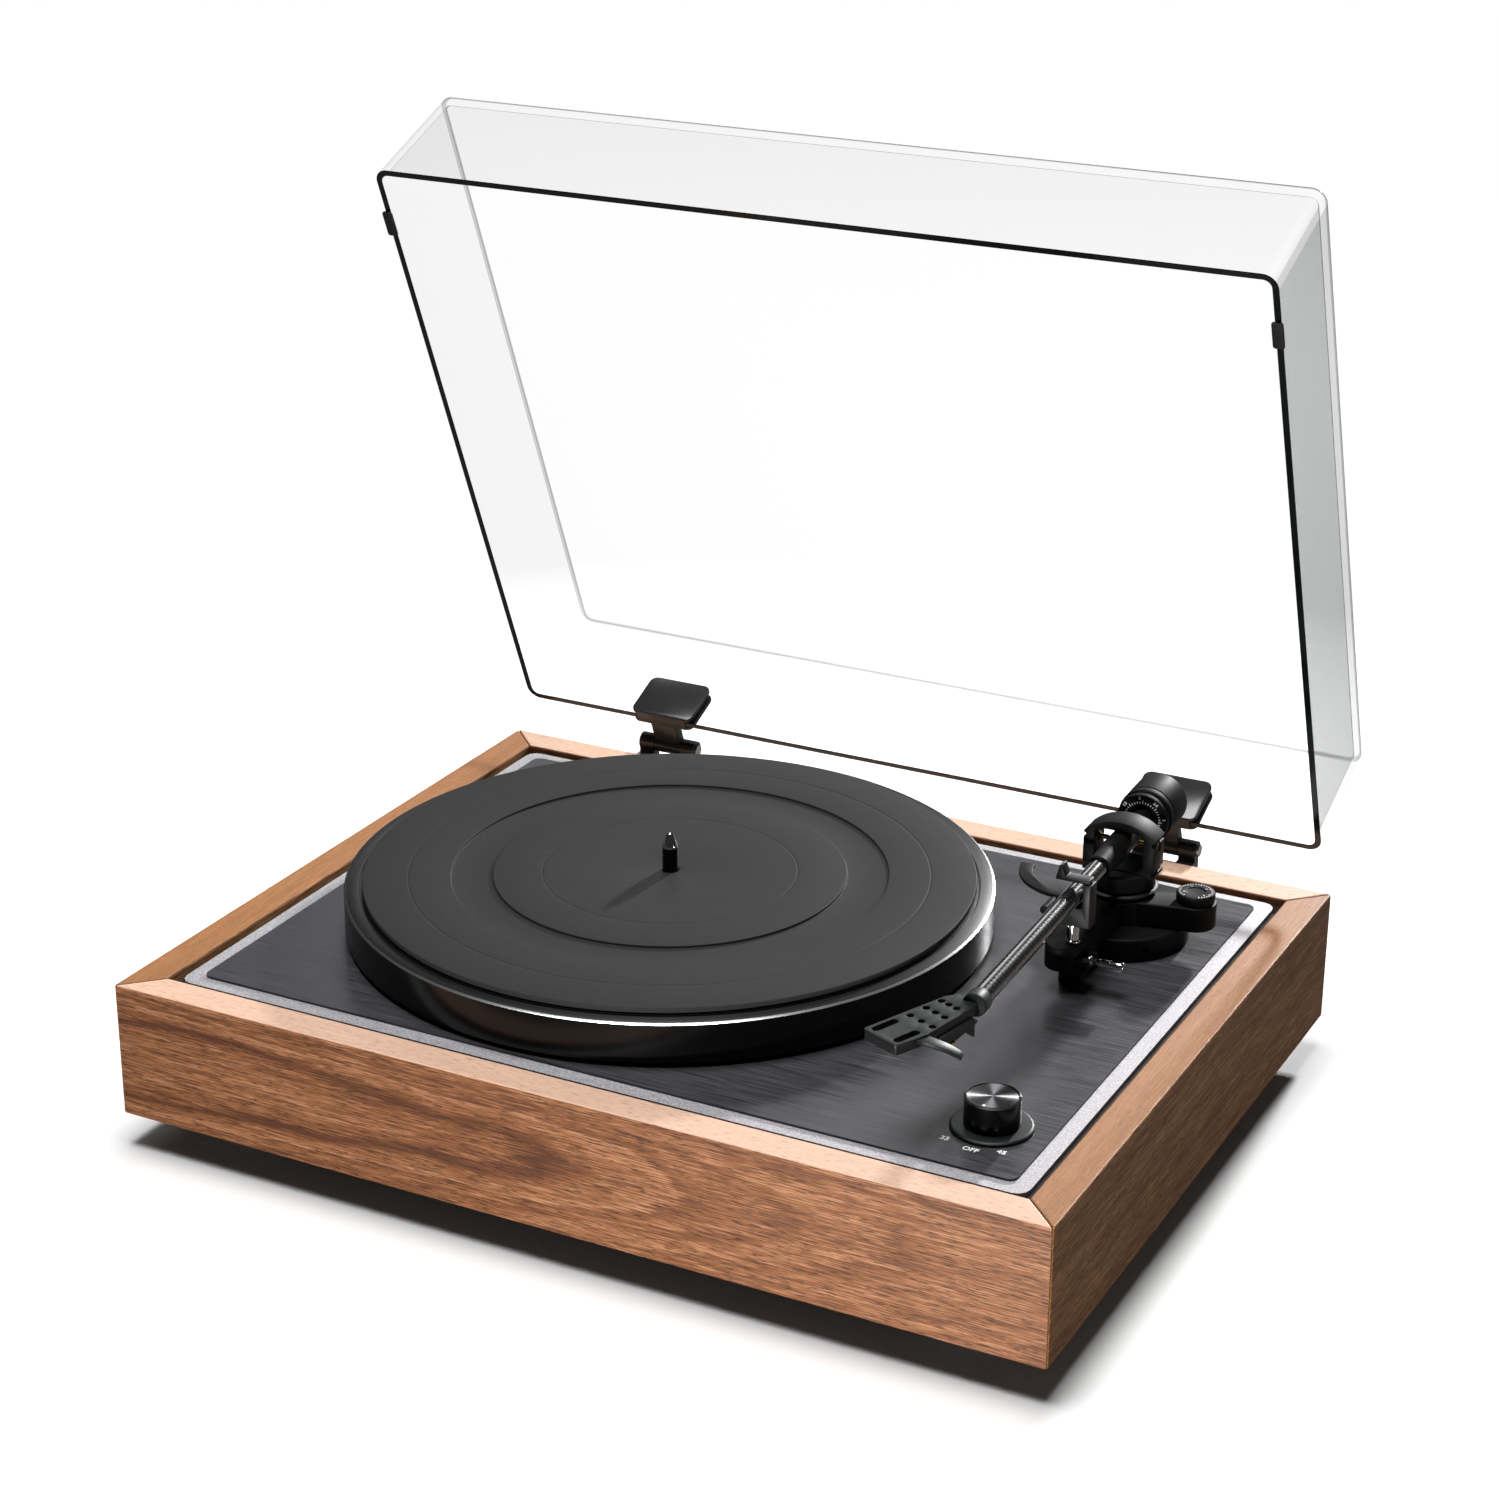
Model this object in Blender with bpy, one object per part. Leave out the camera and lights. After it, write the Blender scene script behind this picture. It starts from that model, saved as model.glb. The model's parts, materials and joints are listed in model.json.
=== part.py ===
"""Belt-drive turntable with a walnut plinth, a straight carbon tonearm and a hinged clear dust cover.

Metres, +Z up. The pieces are laid out in the plinth's own frame: X to the right, Y to the rear, Z up,
with zero at the middle of the plinth's top rim. At the end the whole assembly is moved so that the
middle of its box stands on the world's origin, feet on Z = 0. The cover is modelled closed and then
opened about its hinge line.
"""

import math

import bmesh
import bpy
from mathutils import Matrix, Vector

# ---- Fits ----
GAP = 0.0003          # between pieces that touch
RUN = 0.0003          # radial clearance of a turning fit

# ---- Plinth ----
PLINTH_W = 0.448
PLINTH_D = 0.345
PLINTH_H = 0.064
RIM_W = 0.0168        # thickness of the four mitred boards
RIM_BEVEL = 0.0008
FOOT_H = 0.016        # plinth's underside above the floor
FOOT_R = 0.022
FOOT_INSET_X = 0.046
FOOT_INSET_Y = 0.048
DECK_T = 0.015
PLATE_T = 0.002
PLATE_GAP = 0.0035    # shadow gap between the plate and the boards
PLATE_DROP = 0.0018   # border plate's top below the rim
PANEL_T = 0.0008
PANEL_BORDER = 0.0075 # visible width of the plate round the black panel
PANEL_CORNER_R = 0.004
BASE_T = 0.004
BASE_DROP = 0.057     # base cover's top below the rim

# ---- Bearing, platter, belt drive ----
PLATTER_R = 0.150
PLATTER_TOP = 0.020
PLATTER_BOTTOM = 0.001
PLATTER_WEB = 0.006
PLATTER_SKIRT = 0.006
PLATTER_CHAMFER = 0.0014
HUB_R = 0.020
BELT_RING_R = 0.080
BELT_RING_T = 0.005
MAT_R = 0.1415
MAT_T = 0.003
MAT_STEP = 0.0012
MAT_STEP_IN_R = 0.0818
MAT_STEP_OUT_R = 0.1009
SPINDLE_R = 0.0036
SPINDLE_TOP = 0.0418
SPINDLE_CONE = 0.0064
SHAFT_DEPTH = 0.045
FLANGE_Z = 0.0045
BEARING_R = 0.009
BEARING_WALL_BOTTOM = 0.003
PULLEY_R = 0.006
PULLEY_OFFSET = 0.104 # between the two shafts
PULLEY_ANGLE = 225.0  # degrees, seen from above
BELT_T = 0.0008
BELT_Z0 = 0.0055
BELT_Z1 = 0.0100
MOTOR_R = 0.022
MOTOR_H = 0.024

# ---- Tonearm: its own frame has -Y to the headshell, zero at the pitch axis ----
ARM_FROM_RIGHT = 0.074
ARM_FROM_CENTRE = 0.087
ARM_Z = 0.046
ARM_TOE = 1.6         # degrees the parked arm points outwards
ARM_SAG = 0.64        # degrees the parked arm points down
MOUNT_DISTANCE_X = 0.191
MOUNT_DISTANCE_Y = 0.0806
TUBE_R = 0.0044
TUBE_END = 0.1775
COLLAR_FRONT = 0.034
COLLAR_R = 0.0059
STUB_R = 0.005
STUB_END = 0.050
YOKE_HALF_W = 0.017
YOKE_HALF_D = 0.007
YOKE_LEG = 0.0053
YOKE_SHOULDER = 0.0042
YOKE_RISE = 0.0070
YOKE_WINDOW_TOP = 0.0068
YOKE_WINDOW_BOTTOM = -0.0120
YOKE_FOOT = -0.0207
YOKE_FOOT_R = 0.0155
DIAL_R = 0.0122
DIAL_FROM = 0.025
DIAL_T = 0.0036
WEIGHT_R = 0.013
WEIGHT_T = 0.0235
SCREW_R = 0.0022

# ---- Tonearm base ----
BASE_DRUM_R = 0.0318
BASE_DRUM_TOP = 0.0105
BASE_TOP = 0.022
BASE_HUB_R = 0.0173
EAR_X = -0.0023       # front ear's centre from the pivot
EAR_Y = -0.065
EAR_R = 0.0078
KNOB_EAR_X = 0.035    # right ear's centre from the pivot
KNOB_EAR_Y = 0.0023
KNOB_EAR_R = 0.0098
STUD_R = 0.012
RING_R = 0.017
RING_TOP = 0.025
SKATE_KNOB_R = 0.0089
SKATE_KNOB_H = 0.0046

# ---- Cueing and arm rest ----
CUE_X = -0.0016
CUE_Y = -0.0564
CUE_CYL_R = 0.005
PISTON_R = 0.0022
CUE_TOP = 0.0448 - TUBE_R  # just under the parked tube
BLADE_T = 0.0018
BLADE_W = 0.0064
BLADE_ARC_R = 0.0264
BLADE_ARC_X = -0.007
BLADE_ARC_Y = -0.029
BLADE_A0 = 186.0      # degrees
BLADE_A1 = 284.0
REST_X = 0.0018
REST_Y = -0.0635
REST_POST_R = 0.0027
REST_Z0 = 0.0313
REST_AXIS_Z = 0.0447   # tube's axis over the rest
REST_Z1 = REST_AXIS_Z - TUBE_R
REST_HALF_D = 0.004
LATCH_GAP = 0.0029     # latch above the parked tube
LATCH_Z = REST_AXIS_Z + TUBE_R + LATCH_GAP
LATCH_T = 0.0020
FIN_TOP = LATCH_Z + 0.0070
LEVER_X = 0.0090      # cue lever's axis from the pivot
LEVER_Y = -0.0614
LEVER_Z = 0.0135
LEVER_BALL_R = 0.0026
LEVER_LEN = 0.0165

# ---- Headshell: its frame has zero at the front left corner, X right, Y back ----
HEAD_ANGLE = 24.0     # degrees between the headshell and the tube
HEAD_W = 0.0194
HEAD_LEN = 0.0500
HEAD_T = 0.0046
HEAD_NECK = 0.0030    # tube's end behind the plate's rear edge
HEAD_RAISE = 0.0015   # plate's top above the tube's axis
HEAD_HOLE_R = 0.00165
HEAD_SLOT_W = 0.0037
HEAD_SLOT_L = 0.0135
HEAD_SLOT_PITCH = 0.0127
LEAD_D = 0.0008

# ---- Speed control ----
SPEED_FROM_RIGHT = 0.053
SPEED_FROM_FRONT = 0.0635
SPEED_R = 0.0118
SPEED_TOP = 0.014
SPEED_FLANGE_R = 0.0174
SPEED_FLANGE_TOP = 0.0012
SPEED_SHAFT_R = 0.003

# ---- Dust cover, modelled closed ----
LID_W = 0.4346
LID_D = 0.3287
LID_H = 0.064
LID_WALL = 0.003
LID_RIM_Z = 0.002
LID_CORNER_R = 0.007
LID_EDGE_R = 0.002
LID_OPEN = 67.4       # degrees
HINGE_X = 0.1375
HINGE_BACK = 0.0097   # hinge line behind the plinth's back face
HINGE_Z = 0.004
HINGE_W = 0.0348
LEAF_T = 0.0020
LEAF_H = 0.0265
KNUCKLE_R = 0.0045
KNUCKLE_HALF = 0.0075
PIN_R = 0.0018
BUMPER_L = 0.013
BUMPER_W = 0.0034
BUMPER_T = 0.0014
BUMPER_FROM_FRONT = 0.0225

# ---- Derived places in the plinth's frame ----
DECK_TOP = -PLATE_DROP - PLATE_T - GAP
PANEL_BOTTOM = -PLATE_DROP + GAP
PANEL_TOP = PANEL_BOTTOM + PANEL_T
FLOOR_Z = -PLINTH_H - FOOT_H
INSIDE_X = PLINTH_W / 2 - RIM_W
INSIDE_Y = PLINTH_D / 2 - RIM_W
ARM = Vector((PLINTH_W / 2 - ARM_FROM_RIGHT, PLINTH_D / 2 - 0.1725 + ARM_FROM_CENTRE, 0.0))
SPINDLE = Vector((ARM.x - MOUNT_DISTANCE_X, ARM.y - MOUNT_DISTANCE_Y, 0.0))
PULLEY_DIR = Vector((math.cos(math.radians(PULLEY_ANGLE)), math.sin(math.radians(PULLEY_ANGLE)), 0.0))
PULLEY = SPINDLE + PULLEY_DIR * PULLEY_OFFSET
SPEED = Vector((PLINTH_W / 2 - SPEED_FROM_RIGHT, -PLINTH_D / 2 + SPEED_FROM_FRONT, 0.0))
HINGE_Y = PLINTH_D / 2 + HINGE_BACK
TERMINAL_X = 0.050    # terminal panel's centre
TERMINAL_Z = -0.0383
TERMINAL_W = 0.100
TERMINAL_H = 0.028

SURFACES = {
    # name: (sRGB colour, roughness, metallic, alpha)
    "walnut": ((0.45, 0.29, 0.18), 0.45, 0.0, 1.0),
    "board": ((0.30, 0.24, 0.18), 0.80, 0.0, 1.0),
    "satin_plate": ((0.55, 0.55, 0.57), 0.35, 1.0, 1.0),
    "black_brushed": ((0.10, 0.10, 0.11), 0.35, 0.8, 1.0),
    "black_satin": ((0.03, 0.03, 0.035), 0.40, 0.0, 1.0),
    "black_plastic": ((0.03, 0.03, 0.03), 0.50, 0.0, 1.0),
    "rubber": ((0.05, 0.05, 0.05), 0.85, 0.0, 1.0),
    "aluminium": ((0.70, 0.70, 0.72), 0.25, 1.0, 1.0),
    "steel": ((0.60, 0.60, 0.62), 0.30, 1.0, 1.0),
    "chrome": ((0.85, 0.85, 0.86), 0.08, 1.0, 1.0),
    "brass": ((0.78, 0.62, 0.32), 0.25, 1.0, 1.0),
    "carbon": ((0.06, 0.06, 0.07), 0.15, 0.0, 1.0),
    "circuit": ((0.05, 0.25, 0.12), 0.50, 0.0, 1.0),
    "clear_acrylic": ((0.90, 0.93, 0.93), 0.03, 0.0, 0.25),
    "lead_green": ((0.05, 0.45, 0.30), 0.50, 0.0, 1.0),
    "lead_white": ((0.85, 0.85, 0.85), 0.50, 0.0, 1.0),
    "lead_red": ((0.75, 0.12, 0.15), 0.50, 0.0, 1.0),
    "lead_blue": ((0.10, 0.15, 0.30), 0.50, 0.0, 1.0),
}


# ---------------------------------------------------------------- helpers
def surface(name):
    """The Principled material of that name, made on first use."""
    if name in bpy.data.materials:
        return bpy.data.materials[name]
    rgb, roughness, metallic, alpha = SURFACES[name]
    mat = bpy.data.materials.new(name)
    mat.use_nodes = True
    shader = mat.node_tree.nodes["Principled BSDF"]
    shader.inputs["Base Color"].default_value = (*[c ** 2.2 for c in rgb], 1.0)
    shader.inputs["Roughness"].default_value = roughness
    shader.inputs["Metallic"].default_value = metallic
    shader.inputs["Alpha"].default_value = alpha
    return mat


def add(name, bm, place=None, finish=None):
    """Turns a bmesh into an object. place is a world matrix or a point."""
    bmesh.ops.remove_doubles(bm, verts=bm.verts, dist=1e-7)
    bmesh.ops.recalc_face_normals(bm, faces=bm.faces)
    mesh = bpy.data.meshes.new(name)
    bm.to_mesh(mesh)
    bm.free()
    obj = bpy.data.objects.new(name, mesh)
    bpy.context.collection.objects.link(obj)
    if isinstance(place, Matrix):
        obj.matrix_world = place
    elif place is not None:
        obj.matrix_world = Matrix.Translation(place)
    if finish:
        mesh.materials.append(surface(finish))
    return obj


def prism(name, outline, z0, z1, place=None, finish=None):
    """An outline in X and Y, extruded from z0 to z1."""
    bm = bmesh.new()
    face = bm.faces.new([bm.verts.new((x, y, z0)) for x, y in outline])
    grown = bmesh.ops.extrude_face_region(bm, geom=[face])
    tops = [v for v in grown["geom"] if isinstance(v, bmesh.types.BMVert)]
    bmesh.ops.translate(bm, verts=tops, vec=(0, 0, z1 - z0))
    return add(name, bm, place, finish)


def block(name, low, high, place=None, finish=None):
    """A box between two corners."""
    outline = [(low[0], low[1]), (high[0], low[1]), (high[0], high[1]), (low[0], high[1])]
    return prism(name, outline, low[2], high[2], place, finish)


def turned(name, profile, steps, place=None, finish=None, closed=False, smooth=True):
    """A profile of (radius, height) pairs turned about Z. closed joins its last point to its first."""
    bm = bmesh.new()
    verts = [bm.verts.new((r, 0, h)) for r, h in profile]
    edges = [bm.edges.new(pair) for pair in zip(verts, verts[1:])]
    if closed:
        edges.append(bm.edges.new((verts[-1], verts[0])))
    bmesh.ops.spin(bm, geom=verts + edges, cent=(0, 0, 0), axis=(0, 0, 1), angle=math.tau,
                   steps=steps, use_merge=True)
    obj = add(name, bm, place, finish)
    if smooth:
        obj.data.shade_smooth()
        obj.data.set_sharp_from_angle(angle=math.radians(35))
    return obj


def arc(cx, cy, r, a0, a1, n):
    """n + 1 points along an arc, angles in degrees."""
    angles = [math.radians(a0 + (a1 - a0) * i / n) for i in range(n + 1)]
    return [(cx + r * math.cos(a), cy + r * math.sin(a)) for a in angles]


def rounded(x0, y0, x1, y1, r, n=4):
    """A rectangle's outline with rounded corners, anticlockwise."""
    return (arc(x1 - r, y0 + r, r, -90, 0, n) + arc(x1 - r, y1 - r, r, 0, 90, n)
            + arc(x0 + r, y1 - r, r, 90, 180, n) + arc(x0 + r, y0 + r, r, 180, 270, n))


def combine(obj, other, operation):
    """A Boolean that stays on obj. other becomes a hidden guide that follows obj."""
    other.hide_render = True
    other.display_type = "WIRE"
    keep = other.matrix_world.copy()
    other.parent = obj
    other.matrix_parent_inverse = obj.matrix_world.inverted()
    other.matrix_world = keep
    mod = obj.modifiers.new(operation.lower(), "BOOLEAN")
    mod.operation = operation
    mod.solver = "EXACT"
    mod.object = other
    return obj


def cut(obj, other):
    return combine(obj, other, "DIFFERENCE")


def fuse(obj, other):
    return combine(obj, other, "UNION")


def drill(obj, x, y, r, z0, z1, steps=16, base=Matrix.Identity(4)):
    """Cuts a round hole along the Z axis of base."""
    hole = turned(f"{obj.name}_hole", [(0, z0), (r, z0), (r, z1), (0, z1)], steps, base @ Matrix.Translation((x, y, 0)))
    return cut(obj, hole)


def soften(obj, width, segments=1, angle=40):
    """Bevels the edges sharper than angle."""
    mod = obj.modifiers.new("bevel", "BEVEL")
    mod.width = width
    mod.segments = segments
    mod.limit_method = "ANGLE"
    mod.angle_limit = math.radians(angle)
    return obj


def along_y(at, toward=-1):
    """A place whose Z axis runs along -Y, or +Y."""
    return Matrix.Translation(at) @ Matrix.Rotation(math.radians(90 * -toward), 4, "X")


def along_x(at, toward=1):
    """A place whose Z axis runs along +X, or -X."""
    return Matrix.Translation(at) @ Matrix.Rotation(math.radians(90 * toward), 4, "Y")


def axis_empty(name, at):
    empty = bpy.data.objects.new(name, None)
    empty.empty_display_size = 0.02
    bpy.context.collection.objects.link(empty)
    empty.matrix_world = Matrix.Translation(at)
    return empty


def carry(empty, *objs):
    """Parents objects to an empty and leaves them where they are."""
    base = empty.matrix_world.inverted()
    for obj in objs:
        keep = obj.matrix_world.copy()
        obj.parent = empty
        obj.matrix_parent_inverse = base
        obj.matrix_world = keep


# ---------------------------------------------------------------- plinth
def mitred_board(name, side):
    """One board of the frame. side is front, back, left or right."""
    half = (PLINTH_W / 2, PLINTH_D / 2) if side in ("front", "back") else (PLINTH_D / 2, PLINTH_W / 2)
    long, out = half
    trim = GAP / 2 * math.sqrt(2)
    outline = [(-long + trim, -out), (long - trim, -out), (long - RIM_W - trim, -out + RIM_W),
               (-long + RIM_W + trim, -out + RIM_W)]
    turn = {"front": 0, "right": 90, "back": 180, "left": 270}[side]
    board = prism(name, outline, -PLINTH_H, 0, Matrix.Rotation(math.radians(turn), 4, "Z"), "walnut")
    return soften(board, RIM_BEVEL, 2, 60)


def build_plinth():
    for side in ("front", "back", "left", "right"):
        mitred_board(f"plinth_{side}", side)
    back = bpy.data.objects["plinth_back"]
    cut(back, block("terminal_window",
                    (TERMINAL_X - TERMINAL_W / 2, INSIDE_Y - 0.01, TERMINAL_Z - TERMINAL_H / 2),
                    (TERMINAL_X + TERMINAL_W / 2, PLINTH_D / 2 + 0.01, TERMINAL_Z + TERMINAL_H / 2)))

    x, y = INSIDE_X - GAP, INSIDE_Y - GAP
    deck = block("deck_board", (-x, -y, DECK_TOP - DECK_T), (x, y, DECK_TOP), None, "board")
    x, y = INSIDE_X - PLATE_GAP, INSIDE_Y - PLATE_GAP
    plate = prism("border_plate", rounded(-x, -y, x, y, PANEL_CORNER_R * 1.5, 3),
                  -PLATE_DROP - PLATE_T, -PLATE_DROP, None, "satin_plate")
    x, y = x - PANEL_BORDER, y - PANEL_BORDER
    panel = prism("deck_panel", rounded(-x, -y, x, y, PANEL_CORNER_R, 4), PANEL_BOTTOM, PANEL_TOP, None, "black_brushed")
    for sheet in (deck, plate, panel):
        for at, r in ((SPINDLE, BEARING_R + 0.001), (PULLEY, 0.009), (ARM, STUD_R + 0.0006), (SPEED, SPEED_SHAFT_R + 0.0012)):
            drill(sheet, at.x, at.y, r, DECK_TOP - DECK_T - 0.01, 0.01, 14)

    x, y = INSIDE_X - GAP, INSIDE_Y - GAP
    block("base_cover", (-x, -y, -BASE_DROP - BASE_T), (x, y, -BASE_DROP), None, "black_plastic")
    for name, sx, sy in (("front_left", -1, -1), ("front_right", 1, -1), ("back_left", -1, 1), ("back_right", 1, 1)):
        at = Vector((sx * (PLINTH_W / 2 - FOOT_INSET_X), sy * (PLINTH_D / 2 - FOOT_INSET_Y), FLOOR_Z))
        top = -BASE_DROP - BASE_T - GAP - FLOOR_Z
        turned(f"foot_{name}", [(0, 0), (FOOT_R - 0.002, 0), (FOOT_R - 0.001, 0.004), (FOOT_R, 0.005),
                                (FOOT_R, FOOT_H - 0.003), (FOOT_R - 0.006, FOOT_H - 0.001),
                                (FOOT_R - 0.006, top), (0, top)], 16, at, "rubber")

    board_top = DECK_TOP - DECK_T - GAP
    pcb = block("circuit_board", (0.020, 0.085, board_top - 0.0076), (0.100, 0.125, board_top - 0.006), None, "circuit")
    for sx in (0.025, 0.095):
        for sy in (0.090, 0.120):
            fuse(pcb, turned("standoff", [(0, board_top - 0.007), (0.0025, board_top - 0.007), (0.0025, board_top), (0, board_top)],
                             8, Vector((sx, sy, 0))))
    for at, size in (((0.040, 0.105), (0.012, 0.012, 0.007)), ((0.068, 0.098), (0.016, 0.010, 0.004)),
                     ((0.085, 0.112), (0.006, 0.008, 0.009))):
        fuse(pcb, block("component", (at[0] - size[0] / 2, at[1] - size[1] / 2, board_top - 0.007 - size[2]),
                        (at[0] + size[0] / 2, at[1] + size[1] / 2, board_top - 0.007)))


def build_terminals():
    """Signal jacks, ground post and power inlet on a plate behind the rear window."""
    y0 = INSIDE_Y - GAP - 0.002
    plate = block("terminal_panel", (TERMINAL_X - TERMINAL_W / 2 - 0.006, y0, TERMINAL_Z - TERMINAL_H / 2 - 0.004),
                  (TERMINAL_X + TERMINAL_W / 2 + 0.006, INSIDE_Y - GAP, TERMINAL_Z + TERMINAL_H / 2 + 0.004), None, "black_plastic")
    for name, x, profile, finish in (
            ("signal_jack_left", 0.030, [(0, -0.006), (0.003, -0.006), (0.003, GAP), (0.0048, GAP), (0.0048, 0.003),
                                         (0.0042, 0.003), (0.0042, 0.012), (0.0016, 0.012), (0.0016, 0.004), (0, 0.004)], "chrome"),
            ("signal_jack_right", 0.014, [(0, -0.006), (0.003, -0.006), (0.003, GAP), (0.0048, GAP), (0.0048, 0.003),
                                          (0.0042, 0.003), (0.0042, 0.012), (0.0016, 0.012), (0.0016, 0.004), (0, 0.004)], "chrome"),
            ("ground_post", -0.004, [(0, -0.006), (0.0018, -0.006), (0.0018, GAP), (0.0045, GAP), (0.0045, 0.007),
                                     (0.0030, 0.009), (0, 0.009)], "brass"),
            ("power_inlet", -0.036, [(0, -0.010), (0.0040, -0.010), (0.0040, GAP), (0.0060, GAP), (0.0060, 0.003),
                                     (0.0030, 0.003), (0.0030, -0.007), (0.0010, -0.007), (0.0010, 0.001), (0, 0.001)], "black_plastic")):
        at = Vector((TERMINAL_X + x, INSIDE_Y - GAP, TERMINAL_Z))
        neck = profile[1][0] + GAP
        drill(plate, 0, 0, neck, -0.01, 0.01, 12, along_y(at, 1))
        turned(name, profile, 12, along_y(at, 1), finish)


# ---------------------------------------------------------------- drive
def build_drive():
    z0, z1 = -SHAFT_DEPTH, FLANGE_Z - GAP
    bore = SPINDLE_R + RUN
    housing = [(0, z0 - GAP - BEARING_WALL_BOTTOM), (BEARING_R, z0 - GAP - BEARING_WALL_BOTTOM), (BEARING_R, PANEL_TOP + GAP),
               (0.022, PANEL_TOP + GAP), (0.022, PANEL_TOP + 0.003), (0.012, z1), (bore, z1), (bore, z0 - GAP), (0, z0 - GAP)]
    turned("bearing_housing", housing, 20, SPINDLE, "brass")
    hub_bottom = 0.008
    turned("spindle", [(0, z0), (SPINDLE_R, z0), (SPINDLE_R, FLANGE_Z), (0.013, FLANGE_Z), (0.013, hub_bottom - GAP),
                       (SPINDLE_R, hub_bottom - GAP), (SPINDLE_R, SPINDLE_TOP - SPINDLE_CONE), (0.0014, SPINDLE_TOP - 0.0005),
                       (0, SPINDLE_TOP)], 18, SPINDLE, "chrome")
    web = PLATTER_TOP - PLATTER_WEB
    skirt = PLATTER_R - PLATTER_SKIRT
    ring_in = BELT_RING_R - BELT_RING_T
    platter = [(bore, hub_bottom), (HUB_R, hub_bottom), (HUB_R, web), (ring_in, web), (ring_in, 0.0035),
               (BELT_RING_R, 0.0035), (BELT_RING_R, web), (skirt, web), (skirt, PLATTER_BOTTOM), (PLATTER_R, PLATTER_BOTTOM),
               (PLATTER_R, PLATTER_TOP - PLATTER_CHAMFER), (PLATTER_R - PLATTER_CHAMFER, PLATTER_TOP), (bore, PLATTER_TOP)]
    turned("platter", platter, 60, SPINDLE, "aluminium", closed=True)
    low, top = PLATTER_TOP + GAP, PLATTER_TOP + GAP + MAT_T
    turned("platter_mat", [(bore, low), (MAT_R, low), (MAT_R, top), (MAT_STEP_OUT_R, top), (MAT_STEP_OUT_R, top - MAT_STEP),
                           (MAT_STEP_IN_R, top - MAT_STEP), (MAT_STEP_IN_R, top), (bore, top)], 60, SPINDLE, "rubber", closed=True)

    # The belt: an open loop of two arcs and two straight runs, as a flat band.
    bm = bmesh.new()
    swing = math.degrees(math.acos((BELT_RING_R - PULLEY_R) / PULLEY_OFFSET))
    line = []
    for offset in (GAP, GAP + BELT_T):
        big = arc(0, 0, BELT_RING_R + offset, PULLEY_ANGLE + swing, PULLEY_ANGLE + 360 - swing, 34)
        centre = PULLEY - SPINDLE
        small = arc(centre.x, centre.y, PULLEY_R + offset, PULLEY_ANGLE - swing, PULLEY_ANGLE + swing, 8)
        line.append(big + small)
    inner, outer = line
    rings = [[bm.verts.new((x, y, z)) for x, y in pts] for pts, z in
             ((inner, BELT_Z0), (outer, BELT_Z0), (outer, BELT_Z1), (inner, BELT_Z1))]
    count = len(inner)
    for a, b in zip(rings, rings[1:] + rings[:1]):
        for i in range(count):
            j = (i + 1) % count
            bm.faces.new((a[i], a[j], b[j], b[i]))
    belt = add("drive_belt", bm, SPINDLE, "rubber")
    belt.data.shade_smooth()
    belt.data.set_sharp_from_angle(angle=math.radians(35))

    deck_under = DECK_TOP - DECK_T - GAP
    motor_top = deck_under - 0.002 - GAP
    turned("motor_pulley", [(0, motor_top + GAP), (0.0015, motor_top + GAP), (0.0015, BELT_Z0 - 0.002), (PULLEY_R + 0.0015, BELT_Z0 - 0.002),
                            (PULLEY_R + 0.0015, BELT_Z0 - 0.001), (PULLEY_R, BELT_Z0 - 0.0008), (PULLEY_R, BELT_Z1 + 0.0008),
                            (PULLEY_R + 0.0012, BELT_Z1 + 0.001), (PULLEY_R + 0.0012, BELT_Z1 + 0.0018), (0, BELT_Z1 + 0.0018)],
           14, PULLEY, "brass")
    turned("motor", [(0, motor_top - MOTOR_H), (MOTOR_R - 0.002, motor_top - MOTOR_H), (MOTOR_R, motor_top - MOTOR_H + 0.002),
                     (MOTOR_R, motor_top), (0, motor_top)], 20, PULLEY, "steel")
    plate = prism("motor_plate", rounded(-0.030, -0.030, 0.030, 0.030, 0.006, 3), deck_under - 0.002, deck_under, PULLEY, "steel")
    drill(plate, 0, 0, 0.005, deck_under - 0.01, 0.01, 12, Matrix.Translation(PULLEY))


def build_speed_control():
    deck_under = DECK_TOP - DECK_T - GAP
    block("speed_switch", (-0.012, -0.012, deck_under - 0.014), (0.012, 0.012, deck_under), SPEED, "black_plastic")
    low = PANEL_TOP + GAP
    turned("knob_flange", [(SPEED_SHAFT_R + 0.0010, low), (SPEED_FLANGE_R, low), (SPEED_FLANGE_R, SPEED_FLANGE_TOP - 0.0006),
                           (SPEED_FLANGE_R - 0.0008, SPEED_FLANGE_TOP), (SPEED_SHAFT_R + 0.0010, SPEED_FLANGE_TOP)],
           30, SPEED, "black_satin", closed=True)
    bottom = SPEED_FLANGE_TOP + GAP
    knob = turned("speed_knob", [(0, deck_under + GAP), (SPEED_SHAFT_R, deck_under + GAP), (SPEED_SHAFT_R, bottom), (SPEED_R, bottom),
                                 (SPEED_R, SPEED_TOP - 0.0006), (SPEED_R - 0.0006, SPEED_TOP), (0, SPEED_TOP)], 28, SPEED, "black_satin")
    carry(axis_empty("speed_axis", SPEED), knob)


# ---------------------------------------------------------------- tonearm
def arm_place(pitch=False):
    """The parked arm's frame at the pivot: -Y to the headshell."""
    place = Matrix.Translation(ARM + Vector((0, 0, ARM_Z))) @ Matrix.Rotation(math.radians(ARM_TOE), 4, "Z")
    return place @ Matrix.Rotation(math.radians(ARM_SAG), 4, "X") if pitch else place


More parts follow.
